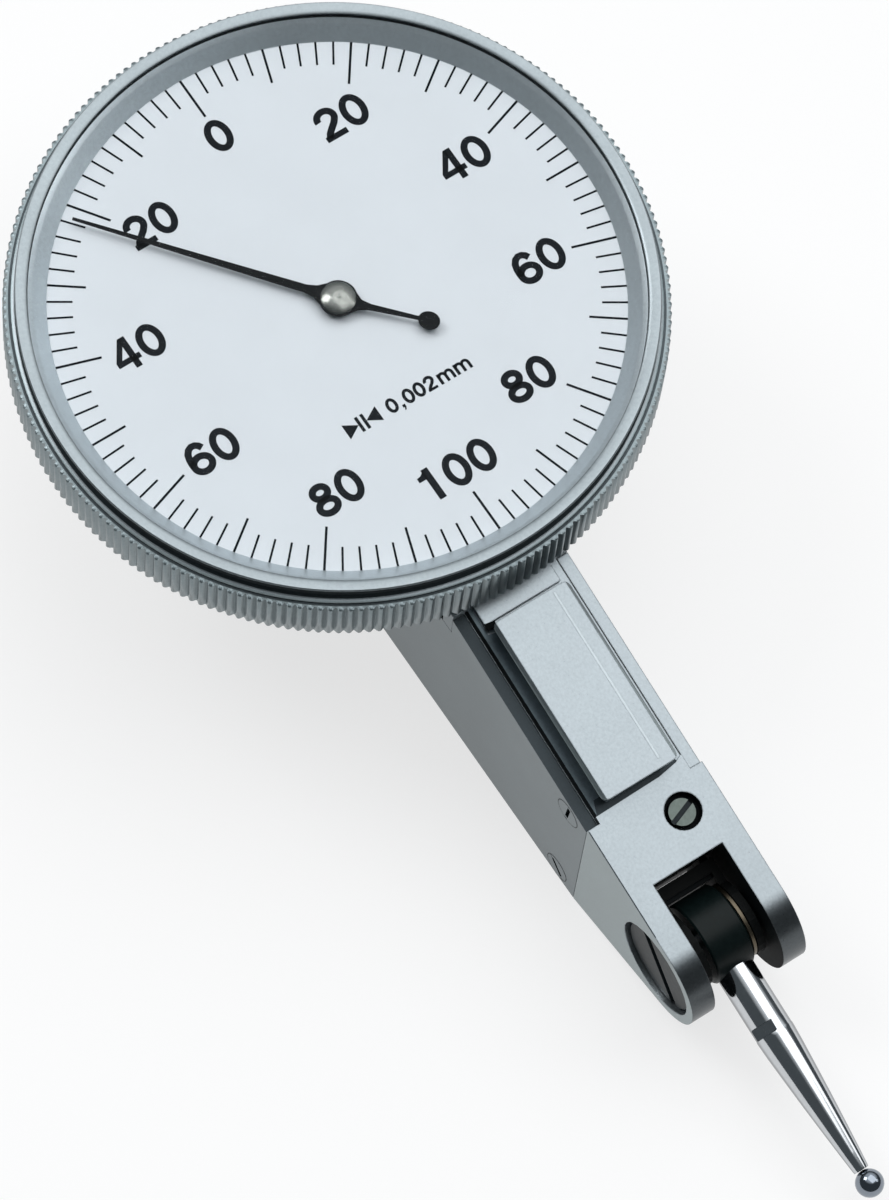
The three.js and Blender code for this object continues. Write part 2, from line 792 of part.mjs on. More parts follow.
function upperBridge() {
  const top = bridgeTop;
  const inner = bridgeHalfLength - bridgeFoot;
  const side = [
    [-bridgeHalfLength, headFloor],
    [-inner, headFloor],
    [-inner, bridgeUnderside],
    [inner, bridgeUnderside],
    [inner, headFloor],
    [bridgeHalfLength, headFloor],
    [bridgeHalfLength, top - edgeBreak],
    [bridgeHalfLength - edgeBreak, top],
    [edgeBreak - bridgeHalfLength, top],
    [-bridgeHalfLength, top - edgeBreak],
  ];
  const bar = plateXZ(side, -bridgeWidth / 2, bridgeWidth / 2);
  const jewelSeat = discZ(upperJewelRadius + seatGap, 0, 0, bridgeUnderside - cutOverrun, top + cutOverrun);
  const bores = [-1, 1].map((end) => discZ(bridgeScrewShank + seatGap, end * bridgeScrewPlace(), 0,
    headFloor - cutOverrun, top + cutOverrun));
  return cut(bar, jewelSeat, ...bores);
}

function upperJewel() {
  return ringZ(arborRadius + bearingGap, upperJewelRadius, bridgeUnderside, bridgeTop);
}

function bridgeScrew(end) {
  const length = bridgeTop - headFloor + bridgeScrewGrip;
  const screw = slottedScrew(bridgeScrewRadius, bridgeScrewHead, bridgeScrewShank, length,
    slotCutWidth, slotCutDepth, smallSegments);
  return screw.translate([end * bridgeScrewPlace(), 0, bridgeTop + bridgeScrewHead]);
}

// The cock that carries the lower end of the centre arbor
function pinionCock() {
  const wide = jewelRadius + seatGap + edgeBreak;
  const plan = [
    [-windowRear, -2 * wide],
    [-windowRear + backWall, -2 * wide],
    ...arcPoints(0, 0, wide, -Math.PI / 2, 3 * Math.PI / 4, smallSegments),
    [-windowRear, crownLayer - crownToothHeight - runningGap],
  ];
  const plate = plateXY(plan, cockHeight, cockHeight + cockThickness);
  const top = cockHeight + cockThickness;
  return cut(plate, discZ(jewelRadius + seatGap, 0, 0, cockHeight - cutOverrun, top + cutOverrun));
}

function lowerJewel() {
  return ringZ(pinCoreRadius + bearingGap / 2, jewelRadius, cockHeight, cockHeight + cockThickness);
}

function bush(x, side) {
  const inner = side * (halfCore + bushDepth - bushLength);
  const outer = side * (halfCore + bushDepth - seatGap);
  const [low, high] = [Math.min(inner, outer), Math.max(inner, outer)];
  return ringY(pinCoreRadius + bearingGap, bushRadius, x, pivotZ, low, high, smallSegments);
}

// A toothed outline round a centre, with straight-flanked teeth over part or all of the circle
function gearOutline(teeth, tip, root, from = 0, span = 2 * Math.PI, share = toothDepthShare) {
  const points = [];
  const steps = Math.round(teeth * span / (2 * Math.PI));
  const flankShares = [0, share / 2, share, 1 - share / 4];
  for (let i = 0; i < steps; i++) {
    flankShares.forEach((shift, k) => {
      const angle = from + span * (i + shift) / steps;
      const radius = k === 1 || k === 2 ? tip : root;
      points.push([radius * Math.cos(angle), radius * Math.sin(angle)]);
    });
  }
  return points;
}

function centreArbor() {
  const tip = centrePinionRadius;
  const root = tip - crownPitch / 3;
  const pinionTop = centrePinionStart + centrePinionLength;
  const teeth = plateXY(gearOutline(centrePinionTeeth, tip, root), centrePinionStart, pinionTop);
  const top = dialHeight + pointerHeight + pointerThickness;
  const shaft = turnedZ([
    [0, cockHeight + seatGap],
    [pinCoreRadius, cockHeight + seatGap],
    [pinCoreRadius, cockHeight + cockThickness + seatGap],
    [arborRadius, cockHeight + cockThickness + 2 * seatGap],
    [arborRadius, top],
    [0, top],
  ], smallSegments);
  return join(teeth, shaft);
}

// Pointer with a tapered blade, a hub and a round counterweight
function pointer() {
  const low = dialHeight + pointerHeight;
  const blade = [
    [-pointerTail, -pointerTipWidth / 2],
    [0, -pointerRootWidth / 2],
    [pointerLength, -pointerTipWidth / 2],
    [pointerLength, pointerTipWidth / 2],
    [0, pointerRootWidth / 2],
    [-pointerTail, pointerTipWidth / 2],
  ];
  const high = low + pointerThickness;
  const whole = join(
    plateXY(blade, low, high),
    discZ(pointerHubRadius, 0, 0, low, high, roundSegments),
    discZ(weightRadius, -pointerTail + weightRadius, 0, low, high, smallSegments),
  );
  const bore = discZ(arborRadius + seatGap, 0, 0, low - cutOverrun, high + cutOverrun);
  return cut(whole, bore).rotate([0, 0, pointerAngle]);
}

function hubCap() {
  const base = dialHeight + pointerHeight + pointerThickness + seatGap;
  const top = dialHeight + capRise;
  return turnedZ([
    [0, base],
    [capRadius, base],
    [capRadius, base + (top - base) / 2],
    [capRadius - (top - base) / 2, top],
    [0, top],
  ], smallSegments);
}

// Contrate wheel: a disc whose rim carries teeth along its axis
function crownWheel() {
  const inner = crownMeanRadius - crownToothWidth / 2;
  const outer = crownMeanRadius + crownToothWidth / 2;
  const rootLayer = crownLayer;
  const back = crownLayer + crownDiscThickness;
  const bore = arborRadius + seatGap;
  const disc = ringY(bore, crownMeanRadius, 0, pivotZ, rootLayer + seatGap, back - seatGap);
  const positions = [];
  const triangles = [];
  const count = 2 * crownTeeth;
  for (let i = 0; i < count; i++) {
    const angle = 2 * Math.PI * i / count;
    const edge = i % 2 ? rootLayer : rootLayer - crownToothHeight;
    for (const [radius, y] of [[inner, edge], [outer, edge], [outer, back], [inner, back]]) {
      positions.push(radius * Math.cos(angle), y, pivotZ + radius * Math.sin(angle));
    }
  }
  for (let i = 0; i < count; i++) {
    const [a, b] = [4 * i, 4 * ((i + 1) % count)];
    for (let k = 0; k < 4; k++) {
      const next = (k + 1) % 4;
      triangles.push(a + k, b + next, b + k, a + k, a + next, b + next);
    }
  }
  const rim = new THREE.BufferGeometry();
  rim.setAttribute('position', new THREE.Float32BufferAttribute(positions, 3));
  rim.setIndex(triangles);
  return join(disc, toSolid(rim));
}

function arborProfile(low, high, core, shaft, shoulder) {
  return [
    [0, low], [core, low], [core, low + shoulder], [shaft, low + shoulder],
    [shaft, high - shoulder], [core, high - shoulder], [core, high], [0, high],
  ];
}

function crownArbor() {
  const end = halfCore + bushDepth - runningGap;
  const shoulder = end - (halfCore + bushDepth - bushLength) + runningGap / 2;
  const profile = arborProfile(-end, end, pinCoreRadius, arborRadius, shoulder);
  const shaft = turnedY(profile, 0, pivotZ, smallSegments);
  const tip = drivePinionRadius - meshGap;
  const root = tip - sectorRim / 3;
  const half = drivePinionWidth / 2;
  const pinion = plateXZ(gearOutline(drivePinionTeeth, tip, root), sectorLayer - half, sectorLayer + half);
  return join(shaft, pinion.translate([0, 0, pivotZ]));
}

// Sector lever: a toothed arc on one side of its pivot and a forked arm on the other
function sectorLever() {
  const half = THREE.MathUtils.degToRad(sectorSpread / 2);
  const teeth = Math.round(drivePinionTeeth * sectorReach / drivePinionRadius);
  const tip = sectorReach - meshGap;
  const root = tip - sectorRim / 3;
  const rim = gearOutline(teeth, tip, root, Math.PI - half, 2 * half);
  const inside = arcPoints(0, 0, root - sectorRim, Math.PI + half, Math.PI - half, smallSegments);
  const web = [
    [-(root - sectorRim / 2), -leverEndRadius],
    [0, -sectorHubRadius],
    [0, sectorHubRadius],
    [-(root - sectorRim / 2), leverEndRadius],
  ];
  const forkHalf = drivePinRadius + bearingGap + sectorRim / 2;
  const arm = [
    [0, -sectorHubRadius],
    [sectorArm + leverEndRadius, -forkHalf],
    [sectorArm + leverEndRadius, forkHalf],
    [0, sectorHubRadius],
  ];
  const low = sectorLayer - sectorThickness / 2;
  const high = sectorLayer + sectorThickness / 2;
  const rimPlate = plateXZ([...rim, ...inside], low, high);
  const hub = discY(sectorHubRadius, 0, 0, low, high, smallSegments);
  const forkGap = drivePinRadius + bearingGap;
  const forkCut = block(sectorArm - drivePinRadius * 2, sectorArm + leverEndRadius + cutOverrun,
    low - cutOverrun, high + cutOverrun, -forkGap, forkGap);
  const bore = discY(arborRadius + seatGap, 0, 0, low - cutOverrun, high + cutOverrun, smallSegments);
  const blank = join(rimPlate, plateXZ(web, low, high), hub, plateXZ(arm, low, high));
  return cut(blank, forkCut, bore).translate([sectorPivotX, 0, pivotZ]);
}

function sectorArbor() {
  const end = halfCore + bushDepth - runningGap;
  const shoulder = end - (halfCore + bushDepth - bushLength) + runningGap / 2;
  const profile = arborProfile(-end, end, pinCoreRadius, arborRadius, shoulder);
  return turnedY(profile, sectorPivotX, pivotZ, smallSegments);
}

// Main lever: two cheeks joined behind the drum, with an arm to the drive pin
function mainLever() {
  const cheek = (from, to) => discY(cheekRadius, 0, 0, from, to);
  const barBack = slotBack - runningGap;
  const barHalf = yokeBarHeight / 2;
  const yoke = block(-barBack, -barBack + yokeBarDepth, -cheekOuter, cheekOuter, -barHalf, barHalf);
  const link = (from, to) => block(-barBack, 0, from, to, -barHalf, barHalf);
  const pinPlace = drivePinX - pivotX;
  const arm = block(pinPlace, 0, cheekInner, cheekOuter, -leverArmHeight / 2, leverArmHeight / 2);
  const end = discY(leverEndRadius, pinPlace, 0, cheekInner, cheekOuter, smallSegments);
  const bore = discY(journalRadius + bearingGap, 0, 0, -slotWidth, slotWidth);
  const pinBore = discY(drivePinRadius + seatGap, pinPlace, 0, 0, slotWidth, smallSegments);
  const cheeks = join(cheek(-cheekOuter, -cheekInner), cheek(cheekInner, cheekOuter));
  const links = join(link(-cheekOuter, -cheekInner), link(cheekInner, cheekOuter));
  const sloping = join(cheeks, links, yoke).rotate([0, faceSlope, 0]);
  return cut(join(sloping, arm, end), bore, pinBore).translate([pivotX, 0, pivotZ]);
}

function drivePin() {
  const low = sectorLayer - sectorThickness / 2 - runningGap;
  return discY(drivePinRadius, drivePinX, pivotZ, low, cheekOuter, smallSegments);
}

function stylusDrum() {
  const drum = discY(drumRadius, 0, 0, -drumLeft, drumRight);
  const rod = stylusCollarRadius + seatGap;
  const depth = drumRadius + cutOverrun;
  const socket = turnedAlong([[0, 0], [rod, 0], [rod, depth], [0, depth]]);
  const pin = discY(journalRadius + runningGap, 0, 0, -slotWidth, slotWidth);
  return ontoSlope(cut(drum, socket.translate([journalRadius + 2 * runningGap, 0, 0]), pin));
}

// Axle of the stylus drum, held between the two cheeks
function stylusAxle() {
  return discY(journalRadius, pivotX, pivotZ, -axleEnd, axleEnd);
}

// A turned shape along X from pairs of radius and distance
function turnedAlong(profile) {
  return turnedZ(profile, roundSegments).rotate([0, 90, 0]);
}

function frictionWasher() {
  const low = drumRight + 2 * seatGap;
  const high = low + washerThickness;
  return ringY(journalRadius + runningGap, drumRadius - runningGap, pivotX, pivotZ, low, high);
}

// Stylus: a collar in the drum, a spanner neck and a long taper that ends at the ball
function stylusRod() {
  const start = journalRadius + 2 * runningGap + seatGap;
  const neckEnd = stylusCollarEnd + stylusNeckLength;
  const tip = stylusLength - ballRadius - seatGap;
  return ontoSlope(turnedAlong([
    [0, start],
    [stylusCollarRadius, start],
    [stylusCollarRadius, stylusCollarEnd],
    [stylusNeckRadius, stylusCollarEnd + seatGap],
    [stylusNeckRadius, neckEnd],
    [stylusShankRadius, neckEnd + seatGap],
    [stylusTipRadius, tip],
    [0, tip],
  ]));
}

function contactBall() {
  const sphere = new THREE.SphereGeometry(ballRadius, roundSegments / 2, smallSegments / 2);
  return ontoSlope(toSolid(sphere).rotate([0, 90, 0]).translate([stylusLength, 0, 0]));
}

// Materials
const finish = (color, roughness, metalness) => ({ color, roughness, metalness });
const satinChrome = finish(0xb9c2c6, 0.42, 1);
const brightSteel = finish(0xc9ced2, 0.16, 1);
const darkSteel = finish(0x2a2d30, 0.35, 0.9);
const brass = finish(0xb59a5a, 0.35, 1);
const blackPaint = finish(0x111214, 0.45, 0);
const dialWhite = finish(0xdae2e9, 0.5, 0);
const ruby = finish(0x9c1c3c, 0.1, 0);
const glass = finish(0xf2f6f8, 0.05, 0);

const indicator = new THREE.Group();

function add(name, solid, look) {
  const mesh = new THREE.Mesh(toGeometry(solid), new THREE.MeshStandardMaterial(look));
  mesh.name = name;
  indicator.add(mesh);
}

add('body_frame', bodyFrame(), satinChrome);
for (const [word, side] of [['left', -1], ['right', 1]]) {
  add(`${word}_side_cover`, sideCover(side), satinChrome);
  coverScrewPlaces.forEach((place, i) => {
    const turn = firstSlotTurn + nextSlotTurn * i;
    add(`${word}_cover_screw_${i + 1}`, coverScrew(place, side, turn), brightSteel);
  });
  add(`${word}_pivot_screw`, pivotScrew(side), darkSteel);
  add(`${word}_crown_bush`, bush(0, side), ruby);
  add(`${word}_sector_bush`, bush(sectorPivotX, side), brass);
}
add('face_adjusting_screw', faceScrew(), brightSteel);
add('dial_case', dialCase(), satinChrome);
add('bezel_friction_wire', bezelWire(), brightSteel);
add('upper_bridge', upperBridge(), brass);
add('upper_jewel', upperJewel(), ruby);
add('bridge_screw_rear', bridgeScrew(-1), brightSteel);
add('bridge_screw_front', bridgeScrew(1), brightSteel);
add('pinion_cock', pinionCock(), brass);
add('lower_jewel', lowerJewel(), ruby);
add('hairspring', hairspring(), darkSteel);
add('hairspring_stud', springStud(), brass);

add('bezel_ring', bezelRing(), satinChrome);
add('dial_plate', dialPlate(), dialWhite);
add('dial_cone_ring', coneRing(), satinChrome);
add('crystal', crystal(), glass);

add('centre_arbor', centreArbor(), brightSteel);
add('hairspring_collet', springCollet(), brass);
add('pointer', pointer(), blackPaint);
add('pointer_hub_cap', hubCap(), brightSteel);

add('crown_wheel', crownWheel(), brass);
add('crown_arbor', crownArbor(), brightSteel);
add('sector_lever', sectorLever(), brass);
add('sector_arbor', sectorArbor(), brightSteel);

add('main_lever', mainLever(), darkSteel);
add('drive_pin', drivePin(), brightSteel);
add('stylus_axle', stylusAxle(), brightSteel);
add('stylus_drum', stylusDrum(), darkSteel);
add('friction_washer', frictionWasher(), brass);
add('stylus_rod', stylusRod(), brightSteel);
add('contact_ball', contactBall(), brightSteel);

export default indicator;
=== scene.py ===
import math

import bmesh
import bpy
from mathutils import Matrix, Vector


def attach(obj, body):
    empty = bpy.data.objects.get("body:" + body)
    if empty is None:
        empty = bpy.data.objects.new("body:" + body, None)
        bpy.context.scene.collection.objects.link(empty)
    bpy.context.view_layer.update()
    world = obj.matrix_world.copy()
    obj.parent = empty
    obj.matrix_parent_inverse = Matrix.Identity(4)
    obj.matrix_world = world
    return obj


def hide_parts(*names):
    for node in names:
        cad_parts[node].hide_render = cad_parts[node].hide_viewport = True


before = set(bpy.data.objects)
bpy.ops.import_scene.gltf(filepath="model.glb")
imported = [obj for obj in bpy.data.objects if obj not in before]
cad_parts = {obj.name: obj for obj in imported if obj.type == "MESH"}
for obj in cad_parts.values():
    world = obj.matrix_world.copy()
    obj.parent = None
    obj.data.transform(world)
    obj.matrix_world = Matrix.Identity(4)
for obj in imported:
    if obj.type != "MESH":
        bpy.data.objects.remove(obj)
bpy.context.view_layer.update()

# Sizes in millimetres, as in the CAD part
MM = 0.001
DIAL_Z = 22.2
PIVOT = (46.0, 0.0, 6.95)
SLOPE = math.radians(12)
HALF_BODY = 4.55
POINTER_ANGLE = math.radians(219.3)
TEETH = 208
KNURL_FROM = 21.66  # Radius from which the teeth cut the barrel
SAME_POINT = 0.0005  # Points as close as this are one

along = Vector((math.cos(SLOPE), 0, -math.sin(SLOPE)))
out = Vector((math.sin(SLOPE), 0, math.cos(SLOPE)))
side = Vector((0, 1, 0))


def axes(x, y, z, origin):
    """A matrix whose columns are three directions and an origin in millimetres."""
    m = Matrix((x, y, z)).transposed().to_4x4()
    m.translation = Vector(origin)
    return m


ON_DIAL = axes((1, 0, 0), (0, 1, 0), (0, 0, 1), (0, 0, DIAL_Z))
TEXT_ON_DIAL = axes((0, 1, 0), (-1, 0, 0), (0, 0, 1), (0, 0, DIAL_Z))
UPRIGHT = axes((1, 0, 0), (0, 1, 0), (0, 0, 1), (0, 0, 0))
SLOPED = axes(along, side, out, PIVOT)
STYLUS_AXIS = axes(-out, side, along, PIVOT)
PIVOT_AXIS = axes(along, -out, side, PIVOT)


# Mesh helpers
def make(name, bm, place, sharp=35):
    """A mesh object from a bmesh drawn in millimetres."""
    bmesh.ops.recalc_face_normals(bm, faces=bm.faces)
    mesh = bpy.data.meshes.new(name)
    bm.to_mesh(mesh)
    bm.free()
    if "custom_normal" in mesh.attributes:
        mesh.attributes.remove(mesh.attributes["custom_normal"])
    mesh.transform(Matrix.Scale(MM, 4) @ place)
    mesh.shade_smooth()
    mesh.set_sharp_from_angle(angle=math.radians(sharp))
    obj = bpy.data.objects.new(name, mesh)
    bpy.context.scene.collection.objects.link(obj)
    return obj


def lathe(bm, profile, steps, ring=False, modulate=None):
    """Turns pairs of radius and height about Z.

    A ring closes on itself. modulate gives the radius of teeth, which cap the outermost radii.
    """
    rows = []
    for r, z in profile:
        if r == 0:
            rows.append([bm.verts.new((0, 0, z))])
            continue
        row = []
        for i in range(steps):
            a = 2 * math.pi * i / steps
            rr = min(r, modulate(i)) if modulate and r > KNURL_FROM else r
            row.append(bm.verts.new((rr * math.cos(a), rr * math.sin(a), z)))
        rows.append(row)
    pairs = list(zip(rows, rows[1:])) + ([(rows[-1], rows[0])] if ring else [])
    for low, high in pairs:
        for i in range(steps):
            j = (i + 1) % steps
            quad = [low[i % len(low)], low[j % len(low)], high[j % len(high)], high[i % len(high)]]
            corners = list(dict.fromkeys(quad))
            if len(corners) > 2:
                bm.faces.new(corners)
    return bm


def arc(cx, cy, r, start, end, steps):
    """Points on a circle between two angles in degrees."""
    angles = [math.radians(start + (end - start) * i / steps) for i in range(steps + 1)]
    return [(cx + r * math.cos(a), cy + r * math.sin(a)) for a in angles]


def disc(cx, cy, r, steps=48):
    """Points all round a circle."""
    return arc(cx, cy, r, 0, 360 - 360 / steps, steps - 1)


def turned(name, profile, place, steps=96, ring=False, modulate=None, sharp=35):
    """A turned mesh object."""
    return make(name, lathe(bmesh.new(), profile, steps, ring, modulate), place, sharp)


def slab(bm, points, low, high):
    """An outline in X and Y, raised between two heights."""
    base = [bm.verts.new((x, y, low)) for x, y in points]
    top = [bm.verts.new((x, y, high)) for x, y in points]
    bm.faces.new(base[::-1])
    bm.faces.new(top)
    n = len(points)
    for i in range(n):
        j = (i + 1) % n
        bm.faces.new((base[i], base[j], top[j], top[i]))


def soften(bm, width, angle, steps=2):
    """Rounds every edge that is sharper than an angle."""
    edges = [e for e in bm.edges if e.is_manifold and e.calc_face_angle(0) > math.radians(angle)]
    bmesh.ops.bevel(bm, geom=edges, offset=width, offset_type="OFFSET", segments=steps, profile=0.5,
                    affect="EDGES", clamp_overlap=True)


def smooth_copy(node, name, angle=24):
    """A copy of a CAD node that is smooth round its arcs and crisp at its edges."""
    bm = bmesh.new()
    bm.from_mesh(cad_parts[node].data)
    bmesh.ops.scale(bm, vec=(1 / MM, 1 / MM, 1 / MM), verts=bm.verts)
    bmesh.ops.remove_doubles(bm, verts=bm.verts, dist=SAME_POINT)
    return make(name, bm, UPRIGHT, angle)


def repaint(obj, mat, test):
    """A second material on the faces that pass a test of normal and place in millimetres."""
    obj.data.materials.append(mat)
    index = len(obj.data.materials) - 1
    for face in obj.data.polygons:
        if test(face.normal, face.center / MM):
            face.material_index = index


# Material helpers
BLOTCH_SCALE = 220.0  # Broad patches a few millimetres wide
LEAST_ROUGH = 0.02


def node(tree, kind, **values):
    """A shader node with its inputs or its settings filled in by name."""
    n = tree.nodes.new(kind)
    for key, value in values.items():
        if key in n.inputs:
            n.inputs[key].default_value = value
        else:
            setattr(n, key, value)
    return n


def shade(colour, factor):
    """A colour made lighter or darker, with full alpha."""
    return tuple(min(1.0, c * factor) for c in colour) + (1.0,)


def ramp_colours(ramp, low, high, start=0.3, end=0.7):
    """Sets the two colours of a ramp and where they stand."""
    for element, position, colour in zip(ramp.color_ramp.elements, (start, end), (low, high)):
        element.position = position
        element.color = colour


def ranged(tree, value, to_min, to_max, from_min=0.0, from_max=1.0, **kind):
    """Maps a value from one range to another."""
    n = node(tree, "ShaderNodeMapRange", **kind)
    ends = {"From Min": from_min, "From Max": from_max, "To Min": to_min, "To Max": to_max}
    for key, number in ends.items():
        n.inputs[key].default_value = number
    tree.links.new(value, n.inputs["Value"])
    return n.outputs["Result"]


def times(tree, colour, factor):
    """The product of two colours."""
    n = node(tree, "ShaderNodeMix", data_type="RGBA", blend_type="MULTIPLY")
    n.inputs[0].default_value = 1.0
    tree.links.new(colour, n.inputs[6])
    tree.links.new(factor, n.inputs[7])
    return n.outputs[2]


def material(name, colour, rough, metallic, scale=4000.0, spread=0.05, bump=0.15, depth=0.01, edge=0.0,
             rough_spread=0.06, blotch=0.03, specular=0.5, fade=None, rim=None):
    """A principled material with grain, blotches, a bump and softened edges, all in object space.

    fade paints light or shade along a direction: it gives the direction, its start and end in millimetres and
    the colour's factor at the end.
    rim paints shade at grazing angles, where a reflection would show: it gives where the grazing angle starts
    and ends to count, and the colour's factor at the end.
    """
    m = bpy.data.materials.new(name)
    m.use_nodes = True
    tree = m.node_tree
    link = tree.links.new
    bsdf = tree.nodes["Principled BSDF"]
    bsdf.inputs["Metallic"].default_value = metallic
    bsdf.inputs["Specular IOR Level"].default_value = specular
    where = node(tree, "ShaderNodeTexCoord").outputs["Object"]
    fine = node(tree, "ShaderNodeTexNoise", Scale=scale, Detail=3.0, Roughness=0.6)
    link(where, fine.inputs["Vector"])
    broad = node(tree, "ShaderNodeTexNoise", Scale=BLOTCH_SCALE, Detail=2.0)
    link(where, broad.inputs["Vector"])
    grain = node(tree, "ShaderNodeValToRGB")
    ramp_colours(grain, shade(colour, 1 - spread), shade(colour, 1 + spread))
    link(fine.outputs["Fac"], grain.inputs["Fac"])
    patch = node(tree, "ShaderNodeValToRGB")
    ramp_colours(patch, shade((1, 1, 1), 1 - 2 * blotch), (1, 1, 1, 1))
    link(broad.outputs["Fac"], patch.inputs["Fac"])
    painted = times(tree, grain.outputs["Color"], patch.outputs["Color"])
    # Painted light or shade: the colour grows lighter or darker along a direction
    if fade:
        direction, start, end, factor = fade
        reach = node(tree, "ShaderNodeVectorMath", operation="DOT_PRODUCT")
        link(where, reach.inputs[0])
        reach.inputs[1].default_value = direction
        slope = ranged(tree, reach.outputs["Value"], 1, factor, start * MM, end * MM,
                       interpolation_type="SMOOTHSTEP")
        painted = times(tree, painted, slope)
    # Painted shade: the colour grows darker where the surface is seen at a grazing angle
    if rim:
        start, end, factor = rim
        grazing = node(tree, "ShaderNodeLayerWeight", Blend=0.5)
        falloff = ranged(tree, grazing.outputs["Facing"], 1, factor, start, end,
                         interpolation_type="SMOOTHSTEP")
        painted = times(tree, painted, falloff)
    link(painted, bsdf.inputs["Base Color"])
    gloss = ranged(tree, fine.outputs["Fac"], max(LEAST_ROUGH, rough - rough_spread), rough + rough_spread)
    link(gloss, bsdf.inputs["Roughness"])
    relief = node(tree, "ShaderNodeBump", Strength=bump, Distance=depth * MM)
    link(fine.outputs["Fac"], relief.inputs["Height"])
    if edge:
        round_off = node(tree, "ShaderNodeBevel", samples=4)
        round_off.inputs["Radius"].default_value = edge * MM
        link(round_off.outputs["Normal"], relief.inputs["Normal"])
    link(relief.outputs["Normal"], bsdf.inputs["Normal"])
    return m


def dress(obj, mat):
    """Gives an object one material."""
    obj.data.materials.clear()
    obj.data.materials.append(mat)


def piece(obj, body, mat, slot, *nodes):
    """Gives a new piece its material and its body, and hides the CAD nodes it stands for."""
    dress(obj, mat)
    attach(obj, body)
    if nodes:
        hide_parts(*nodes)


SATIN = dict(rough=0.30, metallic=0.85, scale=5200, spread=0.10, bump=0.5, depth=0.012, blotch=0.02)
SIDE = dict(scale=5200, spread=0.08, bump=0.4, depth=0.012)
SHADED = dict(scale=3800, spread=0.12, bump=0.3, depth=0.008, blotch=0.06)
STEEL = dict(metallic=1.0, scale=2600)
BLACKED = dict(scale=3000, spread=0.2)
SATIN_COLOUR = (0.30, 0.335, 0.355)

satin = material("satin_chrome_body", SATIN_COLOUR, edge=0.12, **SATIN)
# Painted shade: two darker copies of the satin chrome, for the body's sides, the covers, the dial case and
# the cover screws' heads
flank_shade_satin = material("satin_chrome_flank_painted_shade", (0.25, 0.30, 0.31), 0.34, 0.82, edge=0.12, blotch=0.03, **SIDE)
side_shade_satin = material("satin_chrome_side_painted_shade", (0.172, 0.203, 0.216), 0.40, 0.80, edge=0.08, blotch=0.04, **SIDE)
satin_ring = material("satin_chrome_bezel", (0.285, 0.322, 0.34), 0.36, 0.85, scale=4200, spread=0.08,
                      bump=0.3, depth=0.010, blotch=0.04)
# Painted highlight: a lighter copy of the satin chrome, for a bright line along the rail
highlight_satin = material("satin_chrome_painted_highlight", (0.36, 0.40, 0.42), 0.30, 0.85, scale=5200, spread=0.08,
                       bump=0.4, depth=0.010, edge=0.05)
# Painted highlight: the dial's cone in a much lighter satin chrome, lighter still towards one side
cone_highlight_look = material("satin_chrome_cone_painted_highlight", (0.57, 0.635, 0.67), 0.38, 0.80, scale=4200, spread=0.06,
                     bump=0.2, depth=0.008, blotch=0.02, fade=((-0.81, -0.59, 0), 9.0, 19.0, 1.48))
# Painted shade: a darker satin chrome for the knurled barrel and the bead
knurl_shade_look = material("satin_chrome_knurl_painted_shade", (0.205, 0.245, 0.258), 0.34, 0.88, scale=3800, spread=0.10,
                      bump=0.2, depth=0.008)
# Painted shade: near black in the bezel's cove, in the screws' slots and in a thin ring round each cover
# screw's head
groove_shade_look = material("painted_groove_shade", (0.020, 0.028, 0.032), 0.45, 0.2, scale=3800, spread=0.15, bump=0.2,
                       depth=0.006, specular=0.2)
# Painted shade in the rail's channel and on its flanks
channel_shade_look = material("channel_shade", (0.12, 0.155, 0.175), 0.42, 0.7, **SHADED)
# Painted shade, darker, for shaded edges, lines and undercuts
edge_shade_look = material("channel_edge_shade", (0.026, 0.036, 0.042), 0.42, 0.6, **SHADED)
# Painted shade: the satin chrome grows darker towards the end of the fork's nose
nose_shade_look = material("satin_chrome_nose_painted_shade", SATIN_COLOUR, edge=0.12, fade=((1, 0, 0), 46.7, 48.4, 0.30),
                     **SATIN)
satin_plain = material("satin_chrome_lip", SATIN_COLOUR, **SATIN)
# Near black: painted shade in the fork's slot, the face screw's recess and the line along the channel's edge,
# and the lever's black web
black_and_recess_shade = material("black_and_painted_recess_shade", (0.006, 0.008, 0.009), 0.55, 0.0, scale=3800, spread=0.15,
                        bump=0.2, depth=0.006, edge=0.06, specular=0.05)
pivot_look = material("dark_pivot_steel", (0.010, 0.015, 0.017), 0.42, 0.2, scale=3000, spread=0.15,
                      bump=0.2, depth=0.006, edge=0.05, specular=0.16)
# Painted shade in the bezel's gaps: on the inner top of the knurl and below the bead
gap_shade_look = material("bezel_gap_shade", (0.055, 0.070, 0.078), 0.40, 0.6, **SHADED)
# Polished steel whose colour is painted darker at grazing angles, which stands in for a darker reflection
bright = material("bright_steel", (0.57, 0.59, 0.61), 0.10, spread=0.04, bump=0.12, depth=0.004,
                  rough_spread=0.04, rim=(0.42, 0.72, 0.45), **STEEL)
cap_look = material("cap_steel", (0.24, 0.25, 0.235), 0.22, spread=0.10, bump=0.2, depth=0.006, **STEEL)
ball_look = material("hard_ball", (0.25, 0.28, 0.32), 0.10, spread=0.04, bump=0.05, depth=0.003, **STEEL)
dull = material("dull_steel", (0.10, 0.12, 0.11), 0.34, 0.9, scale=2600, spread=0.15, bump=0.3, depth=0.006)
bronze = material("washer_bronze", (0.13, 0.11, 0.08), 0.38, spread=0.10, bump=0.2, depth=0.006, **STEEL)
dark = material("dark_steel", (0.006, 0.009, 0.011), 0.36, 0.2, scale=3000, spread=0.15, bump=0.2,
                depth=0.006, specular=0.3)
drum_look = material("drum_black", (0.004, 0.008, 0.008), 0.34, 0.0, bump=0.2, depth=0.006, specular=0.12,
                     **BLACKED)
blacked = material("blackened_lever", (0.006, 0.007, 0.007), 0.55, 0.0, bump=0.2, depth=0.008, specular=0.06,
                   **BLACKED)
